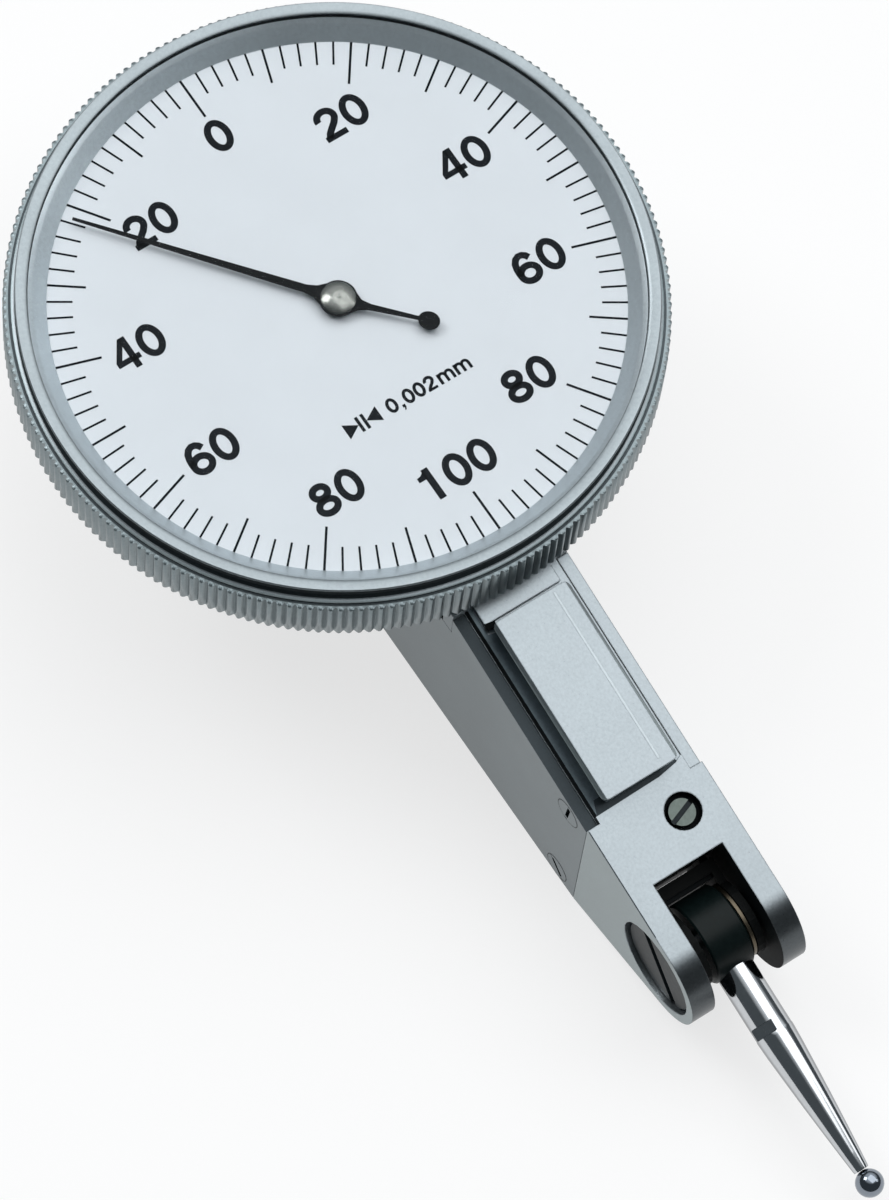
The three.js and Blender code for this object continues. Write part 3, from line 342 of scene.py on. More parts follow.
brass = material("movement_brass", (0.62, 0.47, 0.20), 0.30, 1.0, scale=3200, spread=0.06, bump=0.2,
                 depth=0.006)
black = material("pointer_black", (0.004, 0.005, 0.006), 0.5, 0.0, bump=0.15, depth=0.004, specular=0.06,
                 **BLACKED)
print_black = material("dial_print", (0.005, 0.007, 0.010), 0.6, 0.0, scale=6000, spread=0.25, bump=0.2,
                       depth=0.002, specular=0.05)
dial_white = material("dial_white", (0.69, 0.735, 0.775), 0.52, 0.0, scale=1800, spread=0.012, bump=0.06,
                      depth=0.003, blotch=0.012)
ruby = material("synthetic_ruby", (0.36, 0.01, 0.05), 0.08, 0.0, scale=900, spread=0.2, bump=0.02,
                depth=0.002)


def crystal_material():
    """Clear plastic that is seen mainly at its edge, with a faint haze."""
    m = bpy.data.materials.new("clear_crystal")
    m.use_nodes = True
    tree = m.node_tree
    bsdf = tree.nodes["Principled BSDF"]
    coords = node(tree, "ShaderNodeTexCoord")
    haze = node(tree, "ShaderNodeTexNoise", Scale=60.0, Detail=4.0)
    tree.links.new(coords.outputs["Object"], haze.inputs["Vector"])
    tree.links.new(ranged(tree, haze.outputs["Fac"], 0.02, 0.06), bsdf.inputs["Roughness"])
    facing = node(tree, "ShaderNodeLayerWeight", Blend=0.08)
    tree.links.new(ranged(tree, facing.outputs["Facing"], 0.002, 0.40), bsdf.inputs["Alpha"])
    bsdf.inputs["Base Color"].default_value = (0.45, 0.50, 0.52, 1)
    bsdf.inputs["IOR"].default_value = 1.5
    return m


clear = crystal_material()


# Bezel: a knurled barrel and a face ring with a bead, a cove and a lip over the crystal
TOOTH_STEPS = 8
TOOTH_TIP = 22.09
TOOTH_DEPTH = 0.27
FINE_STEPS = 360
BEYOND = 100.0  # A radius or height past every face


def tooth(i):
    """The radius of a rounded tooth, from its tip down to its root."""
    away = abs((i % TOOTH_STEPS) / TOOTH_STEPS - 0.5) * 2
    return TOOTH_TIP - TOOTH_DEPTH * (0.5 + 0.5 * math.cos(math.pi * away)) ** 1.4


def ring_band(inner, outer, low, high):
    """A test for faces between two radii and two heights over the dial."""
    return lambda n, c: inner < c.xy.length < outer and low < c.z - DIAL_Z < high


knurl_profile = [
    (21.46, 0.24), (21.72, 0.24), (22.01, 0.24), (22.09, 0.16), (22.09, -3.58), (21.97, -3.70),
    (21.70, -3.74), (21.30, -3.74), (21.30, 0.24),
]
knurl = turned("bezel_knurl", knurl_profile, ON_DIAL, TEETH * TOOTH_STEPS, ring=True, modulate=tooth,
               sharp=50)
# The barrel in the darker satin that paints its shade, with painted shade on the inner part of its top
piece(knurl, "bezel", knurl_shade_look, "satin_chrome", "bezel_ring")
repaint(knurl, gap_shade_look, ring_band(0, 21.72, 0.23, BEYOND))

face_profile = [
    (20.66, 1.40), (20.50, 1.43), (20.46, 1.48), (20.45, 1.56), (20.46, 1.62), (20.52, 1.67), (20.70, 1.70),
    (21.10, 1.78), (21.22, 1.77), (21.29, 1.70), (21.29, 1.62), (21.22, 1.40), (21.08, 1.18), (21.04, 0.94),
    (21.10, 0.70), (21.30, 0.52), (21.44, 0.48), (21.53, 0.45), (21.57, 0.38), (21.54, 0.31), (21.44, 0.28),
    (21.44, 0.22), (21.32, 0.18), (21.32, -3.74), (19.12, -3.74), (19.0, -3.60), (19.0, -0.55),
    (20.66, -0.55),
]
bezel = turned("bezel_face_ring", face_profile, ON_DIAL, FINE_STEPS, ring=True, sharp=32)
piece(bezel, "bezel", satin_ring, "satin_chrome", "bezel_ring")
# Painted shade in the cove, below the bead and on the lip's inner wall; the bead takes the knurl's darker
# satin that paints its shade
repaint(bezel, groove_shade_look, ring_band(20.9, 21.33, 0.48, 1.66))
repaint(bezel, gap_shade_look, ring_band(21.4, BEYOND, -BEYOND, 0.30))
repaint(bezel, edge_shade_look, ring_band(0, 20.6, 0, 1.60))
repaint(bezel, knurl_shade_look, ring_band(21.4, BEYOND, 0.30, 0.60))

cone_profile = [
    (19.19, 0.0), (19.19, 0.06), (19.26, 0.12), (20.02, 0.92), (20.14, 1.02), (20.42, 1.20), (20.62, 1.22),
    (20.62, 0.0),
]
cone = turned("dial_cone_ring_turned", cone_profile, ON_DIAL, FINE_STEPS, ring=True, sharp=12)
# The cone with its painted highlight, and painted shade along its outer top edge
piece(cone, "bezel", cone_highlight_look, "satin_chrome", "dial_cone_ring")
repaint(cone, edge_shade_look, ring_band(20.44, 20.61, 1.1, BEYOND))

crystal_profile = [
    (0, 1.26), (20.58, 1.26), (20.62, 1.29), (20.62, 1.35), (20.56, 1.39), (17.0, 1.50), (12.0, 1.60),
    (6.0, 1.67), (0, 1.70),
]
crystal = turned("crystal_disc", crystal_profile, ON_DIAL, FINE_STEPS, sharp=40)
piece(crystal, "bezel", clear, "crystal_clear", "crystal")

plate_profile = [(0.8, -0.5), (20.0, -0.5), (20.0, 0.0), (0.83, 0.0), (0.8, -0.03)]
plate = turned("dial_plate_disc", plate_profile, ON_DIAL, 256, ring=True, sharp=25)
piece(plate, "bezel", dial_white, "dial_white", "dial_plate")


# Print of the dial: graduation, numerals and the note
def strip(bm, a, b, half, low, high):
    """A straight bar between two points, raised between two heights."""
    (x0, y0), (x1, y1) = a, b
    length = math.hypot(x1 - x0, y1 - y0)
    nx, ny = -(y1 - y0) / length * half, (x1 - x0) / length * half
    slab(bm, [(x0 - nx, y0 - ny), (x1 - nx, y1 - ny), (x1 + nx, y1 + ny), (x0 + nx, y0 + ny)], low, high)


PRINT_LOW = 0.002
PRINT_HIGH = 0.012
TICKS = 100
TICK_OUTER = 19.4
TEN, FIVE, ONE = (16.07, 0.084), (16.62, 0.080), (17.47, 0.072)  # Inner radius and half width of a line
ticks = bmesh.new()
for k in range(TICKS):
    inner, half = TEN if k % 10 == 0 else FIVE if k % 5 == 0 else ONE
    a = math.radians(360 / TICKS * k)
    d = (math.sin(a), math.cos(a))
    strip(ticks, (inner * d[0], inner * d[1]), (TICK_OUTER * d[0], TICK_OUTER * d[1]), half, PRINT_LOW,
          PRINT_HIGH)
tick_piece = make("dial_graduation", ticks, TEXT_ON_DIAL)
piece(tick_piece, "bezel", print_black, "black_paint")


def stroke(bm, path, half, closed=False):
    """A raised line of even width along a path."""
    n = len(path)
    rows = []
    for i, (x, y) in enumerate(path):
        before = path[i - 1] if closed or i else path[i]
        after = path[(i + 1) % n] if closed or i < n - 1 else path[i]
        t = Vector((after[0] - before[0], after[1] - before[1])).normalized()
        nx, ny = -t.y * half, t.x * half
        rows.append([bm.verts.new((x + nx, y + ny, PRINT_HIGH)), bm.verts.new((x - nx, y - ny, PRINT_HIGH)),
                     bm.verts.new((x - nx, y - ny, PRINT_LOW)), bm.verts.new((x + nx, y + ny, PRINT_LOW))])
    for i in range(n if closed else n - 1):
        p, q = rows[i], rows[(i + 1) % n]
        for k in range(4):
            bm.faces.new((p[k], p[(k + 1) % 4], q[(k + 1) % 4], q[k]))
    if not closed:
        bm.faces.new(rows[0])
        bm.faces.new(rows[-1][::-1])


def oval(cx, cy, a, b, start=0, end=360, steps=40):
    """Points on an ellipse; a whole one doesn't repeat its first point."""
    count = steps + (abs(end - start) < 360)
    angles = [math.radians(start + (end - start) * i / steps) for i in range(count)]
    return [(cx + a * math.cos(t), cy + b * math.sin(t)) for t in angles]


# Characters on a height of one: closed lines, open lines and filled outlines, then the advance
GLYPHS = {
    "0": ([oval(0.36, 0.50, 0.262, 0.412)], [], [], 0.78),
    "1": ([], [], [[(0.29, 0), (0.49, 0), (0.49, 1), (0.29, 1)],
                   [(0.08, 0.70), (0.34, 0.70), (0.34, 1), (0.30, 0.93), (0.20, 0.86), (0.08, 0.84)]], 0.78),
    "2": ([], [oval(0.355, 0.685, 0.245, 0.225, 188, -32, 28)
               + [(0.48, 0.46), (0.34, 0.34), (0.21, 0.22), (0.14, 0.09)]],
          [[(0.03, 0), (0.68, 0), (0.68, 0.175), (0.03, 0.175)]], 0.78),
    "4": ([], [], [[(0.42, 0), (0.60, 0), (0.60, 1), (0.42, 1)],
                   [(0.02, 0.215), (0.71, 0.215), (0.71, 0.385), (0.02, 0.385)],
                   [(0.02, 0.385), (0.20, 0.385), (0.46, 0.80), (0.46, 1), (0.40, 1)]], 0.78),
    "6": ([oval(0.365, 0.320, 0.258, 0.232)],
          [[(0.107, 0.34), (0.103, 0.46), (0.115, 0.60), (0.155, 0.745), (0.235, 0.855), (0.345, 0.908),
            (0.45, 0.892), (0.535, 0.83), (0.585, 0.735)]], [], 0.78),
    "8": ([oval(0.36, 0.732, 0.212, 0.180), oval(0.36, 0.285, 0.262, 0.200)], [], [], 0.78),
    ",": ([], [], [[(0.10, 0), (0.30, 0), (0.30, 0.19), (0.10, 0.19)],
                   [(0.19, 0), (0.30, 0), (0.20, -0.19), (0.11, -0.19)]], 0.42),
    "m": ([], [oval(0.31, 0.43, 0.19, 0.235, 180, 0, 16) + [(0.50, 0)],
               oval(0.69, 0.43, 0.19, 0.235, 180, 0, 16) + [(0.88, 0)]],
          [[(0.035, 0), (0.205, 0), (0.205, 0.74), (0.035, 0.74)]], 1.03),
}


def letters(bm, text, x, y, height, width, weight):
    """Adds characters centred at a place and fitted to a width.

    weight is the line's share of the height.
    """
    pen = 0.0
    paths = []
    for mark in text:
        closed, opened, filled, advance = GLYPHS[mark]
        paths += [(kind, [(px + pen, py) for px, py in path]) for kind, group in
                  (("closed", closed), ("opened", opened), ("filled", filled)) for path in group]
        pen += advance
    xs = [px + (0 if kind == "filled" else sign * weight / 2)
          for kind, path in paths for px, _ in path for sign in (-1, 1)]
    low, high = min(xs), max(xs)
    wide = width / (high - low)
    for kind, path in paths:
        placed = [((px - (low + high) / 2) * wide + x, (py - 0.5) * height + y) for px, py in path]
        if kind == "filled":
            slab(bm, placed, PRINT_LOW, PRINT_HIGH)
        else:
            stroke(bm, placed, weight * height / 2, kind == "closed")


NUMERAL_HEIGHT = 2.42
NUMERAL_WEIGHT = 0.198
NUMERAL_SPREAD = 1.04
NOTE_HEIGHT = 1.08
NOTE_LOW, NOTE_MIDDLE, NOTE_HIGH = -8.70, -8.12, -7.54
print_mesh = bmesh.new()
numerals = [
    ("0", 0.0, 14.43, 1.70), ("20", 7.70, 11.24, 3.56), ("40", 12.87, 4.30, 3.60), ("60", 12.90, -4.60, 3.56),
    ("80", 7.55, -11.35, 3.56), ("100", 0.08, -14.20, 5.22), ("80", -7.55, -11.35, 3.56),
    ("60", -12.83, -4.53, 3.56), ("40", -12.87, 4.30, 3.60), ("20", -7.34, 11.34, 3.50),
]
for text, x, y, width in numerals:
    letters(print_mesh, text, x, y, NUMERAL_HEIGHT, width * NUMERAL_SPREAD, NUMERAL_WEIGHT)
letters(print_mesh, "0,002", 0.38, NOTE_MIDDLE, NOTE_HEIGHT, 3.76, 0.205)
letters(print_mesh, "mm", 3.74, NOTE_MIDDLE, NOTE_HEIGHT, 2.50, 0.190)

# Two arrowheads, each with its tip at a bar
BAR_HALF = 0.11
for tip, back, bar in ((-3.72, -4.70, -3.62), (-3.10, -2.10, -3.20)):
    ends = (NOTE_HIGH, NOTE_LOW) if back < tip else (NOTE_LOW, NOTE_HIGH)
    slab(print_mesh, [(tip, NOTE_MIDDLE)] + [(back, y) for y in ends], PRINT_LOW, PRINT_HIGH)
    strip(print_mesh, (bar, NOTE_LOW), (bar, NOTE_HIGH), BAR_HALF, PRINT_LOW, PRINT_HIGH)
numeral_piece = make("dial_numerals", print_mesh, TEXT_ON_DIAL)
piece(numeral_piece, "bezel", print_black, "black_paint")

# Pointer, its counterweight, which is a slightly stretched disc, and the domed cap
ON_POINTER = ON_DIAL @ Matrix.Rotation(POINTER_ANGLE, 4, "Z")
WEIGHT_X, WEIGHT_Y = -6.16, -0.36
WEIGHT_RADIUS = 0.62
WEIGHT_STRETCH = 1.18
HUB_RADIUS = 1.28
blade_outline = [
    (-5.9, -0.45), (-2.2, -0.26), (-1.5, -0.36), (-0.9, -0.86), (0.9, -0.86), (1.6, -0.42), (2.3, -0.27),
    (18.4, -0.08), (18.4, 0.08), (2.3, 0.27), (1.6, 0.42), (0.9, 0.86), (-0.9, 0.86), (-1.5, 0.36),
    (-2.2, 0.14), (-5.9, -0.25),
]
blade = bmesh.new()
slab(blade, blade_outline, 0.50, 0.68)
weight = disc(WEIGHT_X, WEIGHT_Y, WEIGHT_RADIUS)
slab(blade, [(WEIGHT_X + WEIGHT_STRETCH * (x - WEIGHT_X), y) for x, y in weight], 0.495, 0.685)
slab(blade, disc(0, 0, HUB_RADIUS), 0.49, 0.69)
soften(blade, 0.03, 60, 1)
needle = make("pointer_blade", blade, ON_POINTER)
piece(needle, "pointer_group", black, "black_paint", "pointer")

cap_profile = [
    (0, 0.98), (0.09, 0.985), (0.17, 1.03), (0.40, 1.00), (0.60, 0.953), (0.80, 0.886), (0.95, 0.823),
    (1.08, 0.76), (1.17, 0.715), (1.19, 0.70), (0, 0.70),
]
cap = turned("pointer_cap_dome", cap_profile, ON_DIAL, 96, sharp=50)
piece(cap, "pointer_group", cap_look, "bright_steel", "pointer_hub_cap")

# Dial case, in the darker side satin that paints its shade
case_profile = [
    (0, 14.2), (19.5, 14.2), (19.72, 14.24), (20.22, 14.74), (20.3, 14.96), (20.3, 18.05), (20.2, 18.15),
    (18.5, 18.15), (18.5, 21.0), (18.4, 21.1), (17.2, 21.1), (17.2, 16.2), (0, 16.2),
]
case = turned("dial_case_turned", case_profile, UPRIGHT, 256, sharp=30)
piece(case, "indicator_body", side_shade_satin, "satin_chrome", "dial_case")

# Body frame and covers with broken edges
FACE_LEVEL = 4.30
FACE_SCREW = (-7.7, 1.65)
TO_SLOPED = SLOPED.inverted()


def is_slot(n, c):
    """Faces inside the fork's slot, up to just below the front face."""
    level = (c - Vector(PIVOT)).dot(out)
    inside = c.x > 33 and abs(c.y) < 2.8 and n.dot(out) < 0.9 and n.z > -0.95
    return inside and level < 4.2 and not (c.x < 38 and level > 3.7)


def is_flank(n, c):
    """The rail's undercut flanks and the walls of the channel on its left."""
    q = TO_SLOPED @ c
    m = TO_SLOPED.to_3x3() @ n
    return -26.5 < q.x < -9.8 and 3.85 < q.z < 5.7 and m.z < 0.3 and -3.7 < q.y < (3.7 if q.x > -11.6 else 0)


def is_screw_recess(n, c):
    """The round recess of the small screw in the fork's face."""
    q = TO_SLOPED @ c
    return (q - Vector((*FACE_SCREW, 3.4))).length < 1.6 and q.z < 4.25


body = smooth_copy("body_frame", "body_frame_finished")
piece(body, "indicator_body", satin, "satin_chrome", "body_frame")
# Painted shade: the sides in darker satin, darker still towards the rear
repaint(body, flank_shade_satin, lambda n, c: abs(n.y) > 0.7)
repaint(body, side_shade_satin, lambda n, c: abs(n.y) > 0.7 and c.x < 30)
# Painted shade: darker towards the nose's end, and near black inside the fork's slot
repaint(body, nose_shade_look, lambda n, c: c.x > 46.5 and n.x > 0.215)
repaint(body, black_and_recess_shade, is_slot)
for word in ("left", "right"):
    # Covers in the darker side satin that paints their shade; the left cover's top takes painted shade, the
    # right one's top the plain satin
    cover = smooth_copy(f"{word}_side_cover", f"{word}_cover_finished")
    piece(cover, "indicator_body", side_shade_satin, "satin_chrome", f"{word}_side_cover")
    repaint(cover, edge_shade_look if word == "left" else satin, lambda n, c: n.z > 0.3)


def on_slope(name, look, *slabs):
    """A piece of slabs along the sloped front, each with its outline and its two heights."""
    bm = bmesh.new()
    for points, low, high in slabs:
        slab(bm, points, low, high)
    piece(make(name, bm, SLOPED), "indicator_body", look, "satin_chrome")


# Painted shade in the left channel and at the end of the rail, and a painted shadow line along the channel's
# edge and at its corner
CHANNEL_FLOOR = 3.8
channel_shade_outline = [
    (-26.36, -3.60), (-9.87, -3.60), (-9.87, 0.0), (-11.40, 0.0), (-11.40, -1.75), (-24.00, -1.75),
    (-24.30, -3.05), (-26.36, -3.05),
]
end_outline = [(-11.40, -3.00), (-9.87, -3.55), (-9.87, 3.60), (-11.40, 3.00)]
line_outline = [(-26.36, -3.62), (-9.90, -3.62), (-9.90, -3.36), (-26.36, -3.36)]
corner_outline = [(-25.00, -3.03), (-24.45, -3.03), (-24.45, -2.30), (-24.85, -2.30)]
on_slope("rail_channel_painted_shade", channel_shade_look, (channel_shade_outline, CHANNEL_FLOOR + 0.004, CHANNEL_FLOOR + 0.02))
on_slope("rail_end_shade", edge_shade_look, (end_outline, CHANNEL_FLOOR + 0.004, CHANNEL_FLOOR + 0.03))
on_slope("rail_channel_line", black_and_recess_shade, (line_outline, CHANNEL_FLOOR + 0.01, CHANNEL_FLOOR + 0.03),
         (corner_outline, 4.28, 4.32))

# Edge of the fork's face beside the rail's end, and a painted shadow line on the arris above its left side
lip_outline = [
    (-10.36, -3.58), (-9.20, -3.58), (-9.20, 3.58), (-10.95, 3.58), (-10.68, 3.00), (-10.44, 1.50),
]
arris_outline = [(-9.75, -4.545), (-1.60, -4.545), (-1.60, -4.47), (-9.75, -4.47)]
on_slope("fork_face_lip", satin_plain, (lip_outline, CHANNEL_FLOOR + 0.04, FACE_LEVEL + 0.004))
on_slope("fork_arris_line", edge_shade_look, (arris_outline, FACE_LEVEL + 0.001, FACE_LEVEL + 0.006))

# Painted shade on the rail's flanks and the channel's walls, and in the face screw's recess
repaint(body, channel_shade_look, is_flank)
repaint(body, black_and_recess_shade, is_screw_recess)

# Painted highlight: a thin bright line along the rail, just above its face
RAIL_LEVEL = 6.0
highlight_outline = [(-24.30, 1.62), (-11.40, 1.62), (-11.40, 1.82), (-24.30, 1.82)]
on_slope("rail_painted_highlight", highlight_satin, (highlight_outline, RAIL_LEVEL - 0.01, RAIL_LEVEL + 0.008))


# Slotted screws
OVERLAP = 0.001


def screw(name, place, radius, height, slot, depth, turn, shank, length, chamfer):
    """A slotted head whose top is at zero, with its shank below, and a test for the faces of its slot."""
    bm = bmesh.new()
    half = slot / 2
    for sign in (1, -1):
        a = math.degrees(math.asin(half / radius))
        points = [(x, y * sign) for x, y in arc(0, 0, radius, a, 180 - a, 28)]
        slab(bm, points if sign > 0 else points[::-1], -depth, 0)
    slab(bm, disc(0, 0, radius), -height, -depth + OVERLAP)
    soften(bm, chamfer, 50, 1)
    slab(bm, disc(0, 0, shank, 16), -height - length, -height + OVERLAP)
    whole = place @ Matrix.Rotation(math.radians(turn), 4, "Z")
    obj = make(name, bm, whole, 40)
    inverse = whole.inverted()

    def is_slot_floor(n, c):
        q = inverse @ c
        return q.z < -chamfer * 1.2 and abs(q.y) < half * 1.05

    return obj, is_slot_floor


def seat_screw(name, place, look, table_slot, cad_node, **sizes):
    """A screw that stands for a CAD node, with painted shade in its slot."""
    obj, is_slot_floor = screw(name, place, **sizes)
    piece(obj, "indicator_body", look, table_slot, cad_node)
    repaint(obj, groove_shade_look, is_slot_floor)


# Places of the cover screws along X and Z, and a thin ring of painted shade round each head
COVER_SCREWS = [(35.1, 11.65), (35.1, 1.15), (-14.25, 6.95)]
SHADE_RING = [(1.06, -0.05), (1.13, -0.05), (1.13, 0.0), (1.06, 0.0)]
for word, sign in (("left", -1), ("right", 1)):
    for i, (x, z) in enumerate(COVER_SCREWS, 1):
        outward = axes((1, 0, 0), (0, 0, -sign), (0, sign, 0), (x, sign * (HALF_BODY + 0.012), z))
        name = f"{word}_cover_screw_{i}"
        seat_screw(f"{name}_head", outward, side_shade_satin, "bright_steel", name, radius=1.08, height=0.46,
                   slot=0.30, depth=0.26, turn=35 + 50 * i, shank=0.39, length=1.79, chamfer=0.02)
        rim = turned(f"{name}_rim", SHADE_RING, outward, 64, ring=True)
        piece(rim, "indicator_body", groove_shade_look, "bright_steel")
    outward = axes((1, 0, 0), (0, 0, -sign), (0, sign, 0), (PIVOT[0], sign * (HALF_BODY - 0.30), PIVOT[2]))
    seat_screw(f"{word}_pivot_screw_head", outward, pivot_look, "dark_steel", f"{word}_pivot_screw",
               radius=3.3, height=0.55, slot=0.7, depth=0.4, turn=-50 if sign < 0 else 25, shank=1.49,
               length=1.1, chamfer=0.10)
face_place = SLOPED @ Matrix.Translation((*FACE_SCREW, FACE_LEVEL - 0.35))
seat_screw("face_screw_head", face_place, dull, "bright_steel", "face_adjusting_screw", radius=0.93,
           height=0.8, slot=0.36, depth=0.36, turn=-70, shank=0.4, length=1.7, chamfer=0.12)

# Dark web of the lever behind the drum
web = bmesh.new()
slab(web, [(-4.28, -2.35), (-3.07, -2.35), (-3.07, 2.35), (-4.28, 2.35)], -3.2, 0.90)
soften(web, 0.06, 60)
lever_web = make("main_lever_web", web, SLOPED)
piece(lever_web, "fork_lever", black_and_recess_shade, "dark_steel")

# Stylus: rod with two spanner flats and a taper, ball, drum and washer
FLAT_START, FLAT_END = 6.84, 7.64
FLAT_HALF = 1.04
rod_profile = [
    (0, 1.6), (1.36, 1.6), (1.36, 6.70), (1.36, 6.82), (1.36, 6.86), (1.36, 7.62), (1.37, 7.66),
    (1.385, 7.76), (1.38, 7.90), (1.33, 9.0), (1.19, 11.0), (1.04, 13.0), (0.87, 15.0), (0.69, 17.0),
    (0.57, 18.2), (0.53, 18.4), (0, 18.4),
]
rod = turned("stylus_rod_turned", rod_profile, STYLUS_AXIS, 120)

# The flats face 30 degrees off the upward direction, square to the rod
along_rod = (STYLUS_AXIS.to_3x3() @ Vector((0, 0, 1))).normalized()
upward = Vector((0.286, -0.248, 0.926))
upward = (upward - along_rod * upward.dot(along_rod)).normalized()
flat_out = (0.866 * upward - 0.5 * upward.cross(along_rod)).normalized()
for vertex in rod.data.vertices:
    place = STYLUS_AXIS.inverted() @ (vertex.co / MM)
    if FLAT_START < place.z < FLAT_END:
        reach = flat_out.dot(STYLUS_AXIS.to_3x3() @ Vector((place.x, place.y, 0)))
        if abs(reach) > FLAT_HALF:
            vertex.co -= flat_out * (reach - math.copysign(FLAT_HALF, reach)) * MM
rod.data.shade_smooth()
rod.data.set_sharp_from_angle(angle=math.radians(25))
piece(rod, "stylus", bright, "bright_steel", "stylus_rod")

BALL_RADIUS = 0.975
BALL_CENTRE = 19.4
ball_profile = [(0, BALL_CENTRE - BALL_RADIUS)] + [
    (BALL_RADIUS * math.sin(math.radians(t)), BALL_CENTRE - BALL_RADIUS * math.cos(math.radians(t)))
    for t in range(6, 180, 6)] + [(0, BALL_CENTRE + BALL_RADIUS)]
ball = turned("contact_ball_polished", ball_profile, STYLUS_AXIS, 72, sharp=60)
piece(ball, "stylus", ball_look, "bright_steel", "contact_ball")

drum_profile = [(1.2, -1.55), (2.88, -1.55), (3.0, -1.43), (3.0, 1.28), (2.88, 1.4), (1.2, 1.4)]
drum = turned("stylus_drum_turned", drum_profile, PIVOT_AXIS, 96, ring=True)
piece(drum, "stylus", drum_look, "dark_steel", "stylus_drum")
washer_profile = [(1.2, 1.5), (2.66, 1.5), (2.7, 1.54), (2.7, 1.76), (2.66, 1.8), (1.2, 1.8)]
washer = turned("friction_washer_turned", washer_profile, PIVOT_AXIS, 96, ring=True)
piece(washer, "stylus", bronze, "movement_brass", "friction_washer")

# Materials of the CAD nodes that stay
stay = {
    "bezel_friction_wire": bright, "bridge_screw_rear": bright, "bridge_screw_front": bright,
    "centre_arbor": bright, "crown_arbor": bright, "sector_arbor": bright, "drive_pin": bright,
    "stylus_axle": bright, "upper_bridge": brass, "pinion_cock": brass, "hairspring_stud": brass,
    "hairspring_collet": brass, "crown_wheel": brass, "sector_lever": brass, "left_sector_bush": brass,
    "right_sector_bush": brass, "upper_jewel": ruby, "lower_jewel": ruby, "left_crown_bush": ruby,
    "right_crown_bush": ruby, "hairspring": dark, "main_lever": blacked,
}
for name, look in stay.items():
    dress(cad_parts[name], look)

# Floor: pale and plain. Rays that look at it see a large share of even white, so its shadow stays faint
WHITE_SHARE = 0.72
FLOOR_SIZE = 3000
floor_look = bpy.data.materials.new("pale_floor")
floor_look.use_nodes = True
tree = floor_look.node_tree
link = tree.links.new
coords = node(tree, "ShaderNodeTexCoord")
cloud = node(tree, "ShaderNodeTexNoise", Scale=3.0)
tint = node(tree, "ShaderNodeValToRGB")
ramp_colours(tint, (0.93, 0.93, 0.93, 1), (0.97, 0.97, 0.97, 1), 0.0, 1.0)
link(coords.outputs["Object"], cloud.inputs["Vector"])
link(cloud.outputs["Fac"], tint.inputs["Fac"])
matte = tree.nodes["Principled BSDF"]
link(tint.outputs["Color"], matte.inputs["Base Color"])
matte.inputs["Roughness"].default_value = 0.9
rays = node(tree, "ShaderNodeLightPath")
seen = node(tree, "ShaderNodeMath", operation="ADD")
link(rays.outputs["Is Camera Ray"], seen.inputs[0])
link(rays.outputs["Is Glossy Ray"], seen.inputs[1])
seen_too = node(tree, "ShaderNodeMath", operation="ADD")
link(seen.outputs["Value"], seen_too.inputs[0])
link(rays.outputs["Is Transmission Ray"], seen_too.inputs[1])
share = node(tree, "ShaderNodeMath", operation="MULTIPLY")
link(seen_too.outputs["Value"], share.inputs[0])
share.inputs[1].default_value = WHITE_SHARE
white = node(tree, "ShaderNodeEmission", Strength=1.0)
blend = node(tree, "ShaderNodeMixShader")
link(share.outputs["Value"], blend.inputs["Fac"])
link(matte.outputs["BSDF"], blend.inputs[1])
link(white.outputs["Emission"], blend.inputs[2])
link(blend.outputs["Shader"], tree.nodes["Material Output"].inputs["Surface"])
bm = bmesh.new()
bmesh.ops.create_grid(bm, x_segments=8, y_segments=8, size=FLOOR_SIZE)
floor = make("floor", bm, UPRIGHT)
dress(floor, floor_look)


# Lamps, all of them soft boxes
MIDDLE = (0.02, 0, 0.012)


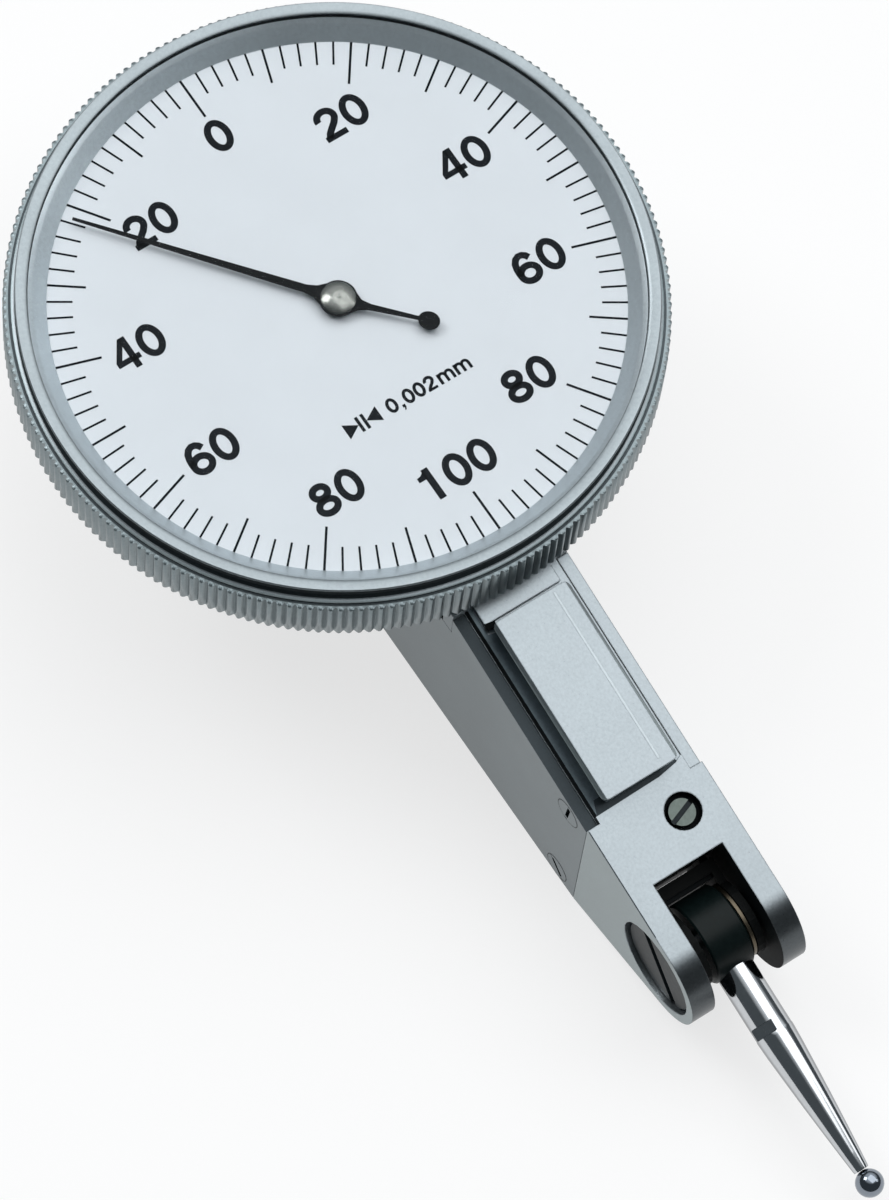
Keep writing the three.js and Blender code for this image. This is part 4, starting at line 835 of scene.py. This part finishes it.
def lamp(name, place, size, watts):
    """A soft box in metres and watts that looks at the middle of the part."""
    data = bpy.data.lights.new(name, "AREA")
    data.shape = "RECTANGLE"
    data.size, data.size_y = size
    data.energy = watts
    obj = bpy.data.objects.new(name, data)
    obj.location = place
    obj.rotation_euler = (Vector(MIDDLE) - Vector(place)).to_track_quat("-Z", "Y").to_euler()
    bpy.context.scene.collection.objects.link(obj)


lamp("key_softbox", (-0.04, 0.24, 0.66), (0.78, 0.66), 2.2)
lamp("glint_softbox", (0.30, 0.54, 0.45), (0.22, 0.22), 0.24)
lamp("fill_softbox", (-0.45, -0.25, 0.60), (0.30, 0.30), 1.6)

# World: a pale dome on one side over a grey room
PALE_SIDE = (-0.35, 0.30, 0.887)
world = bpy.data.worlds.new("studio")
bpy.context.scene.world = world
world.use_nodes = True
tree = world.node_tree
background = tree.nodes["Background"]
coords = node(tree, "ShaderNodeTexCoord")
toward = node(tree, "ShaderNodeVectorMath", operation="DOT_PRODUCT")
toward.inputs[1].default_value = PALE_SIDE
dome = node(tree, "ShaderNodeValToRGB")
ramp_colours(dome, (0.085, 0.098, 0.106, 1), (0.93, 0.965, 0.99, 1), 0.60, 0.82)
tree.links.new(coords.outputs["Generated"], toward.inputs[0])
tree.links.new(toward.outputs["Value"], dome.inputs["Fac"])
tree.links.new(dome.outputs["Color"], background.inputs["Color"])
background.inputs["Strength"].default_value = 1.0

# Camera, fitted to the dial, the bezel and the rail of the photograph. Its axes are the picture's right and
# down and the line of sight.
camera_data = bpy.data.cameras.new("camera")
camera_data.sensor_width = 36
camera_data.lens = 196.754
camera_data.clip_start = 0.01
camera_data.clip_end = 20
camera = bpy.data.objects.new("camera", camera_data)
right = Vector((0.5542316, 0.8307621, 0.0515912))
down = Vector((0.7816933, -0.4981974, -0.3751731))
ahead = Vector((-0.2859770, 0.2482613, -0.9255179))
pose = Matrix((right, -down, -ahead)).transposed().to_4x4()
pose.translation = Vector((142.93656, -111.32045, 393.28487 + DIAL_Z)) * MM
camera.matrix_world = pose
bpy.context.scene.collection.objects.link(camera)
bpy.context.scene.camera = camera

bpy.context.scene.view_settings.view_transform = "Standard"
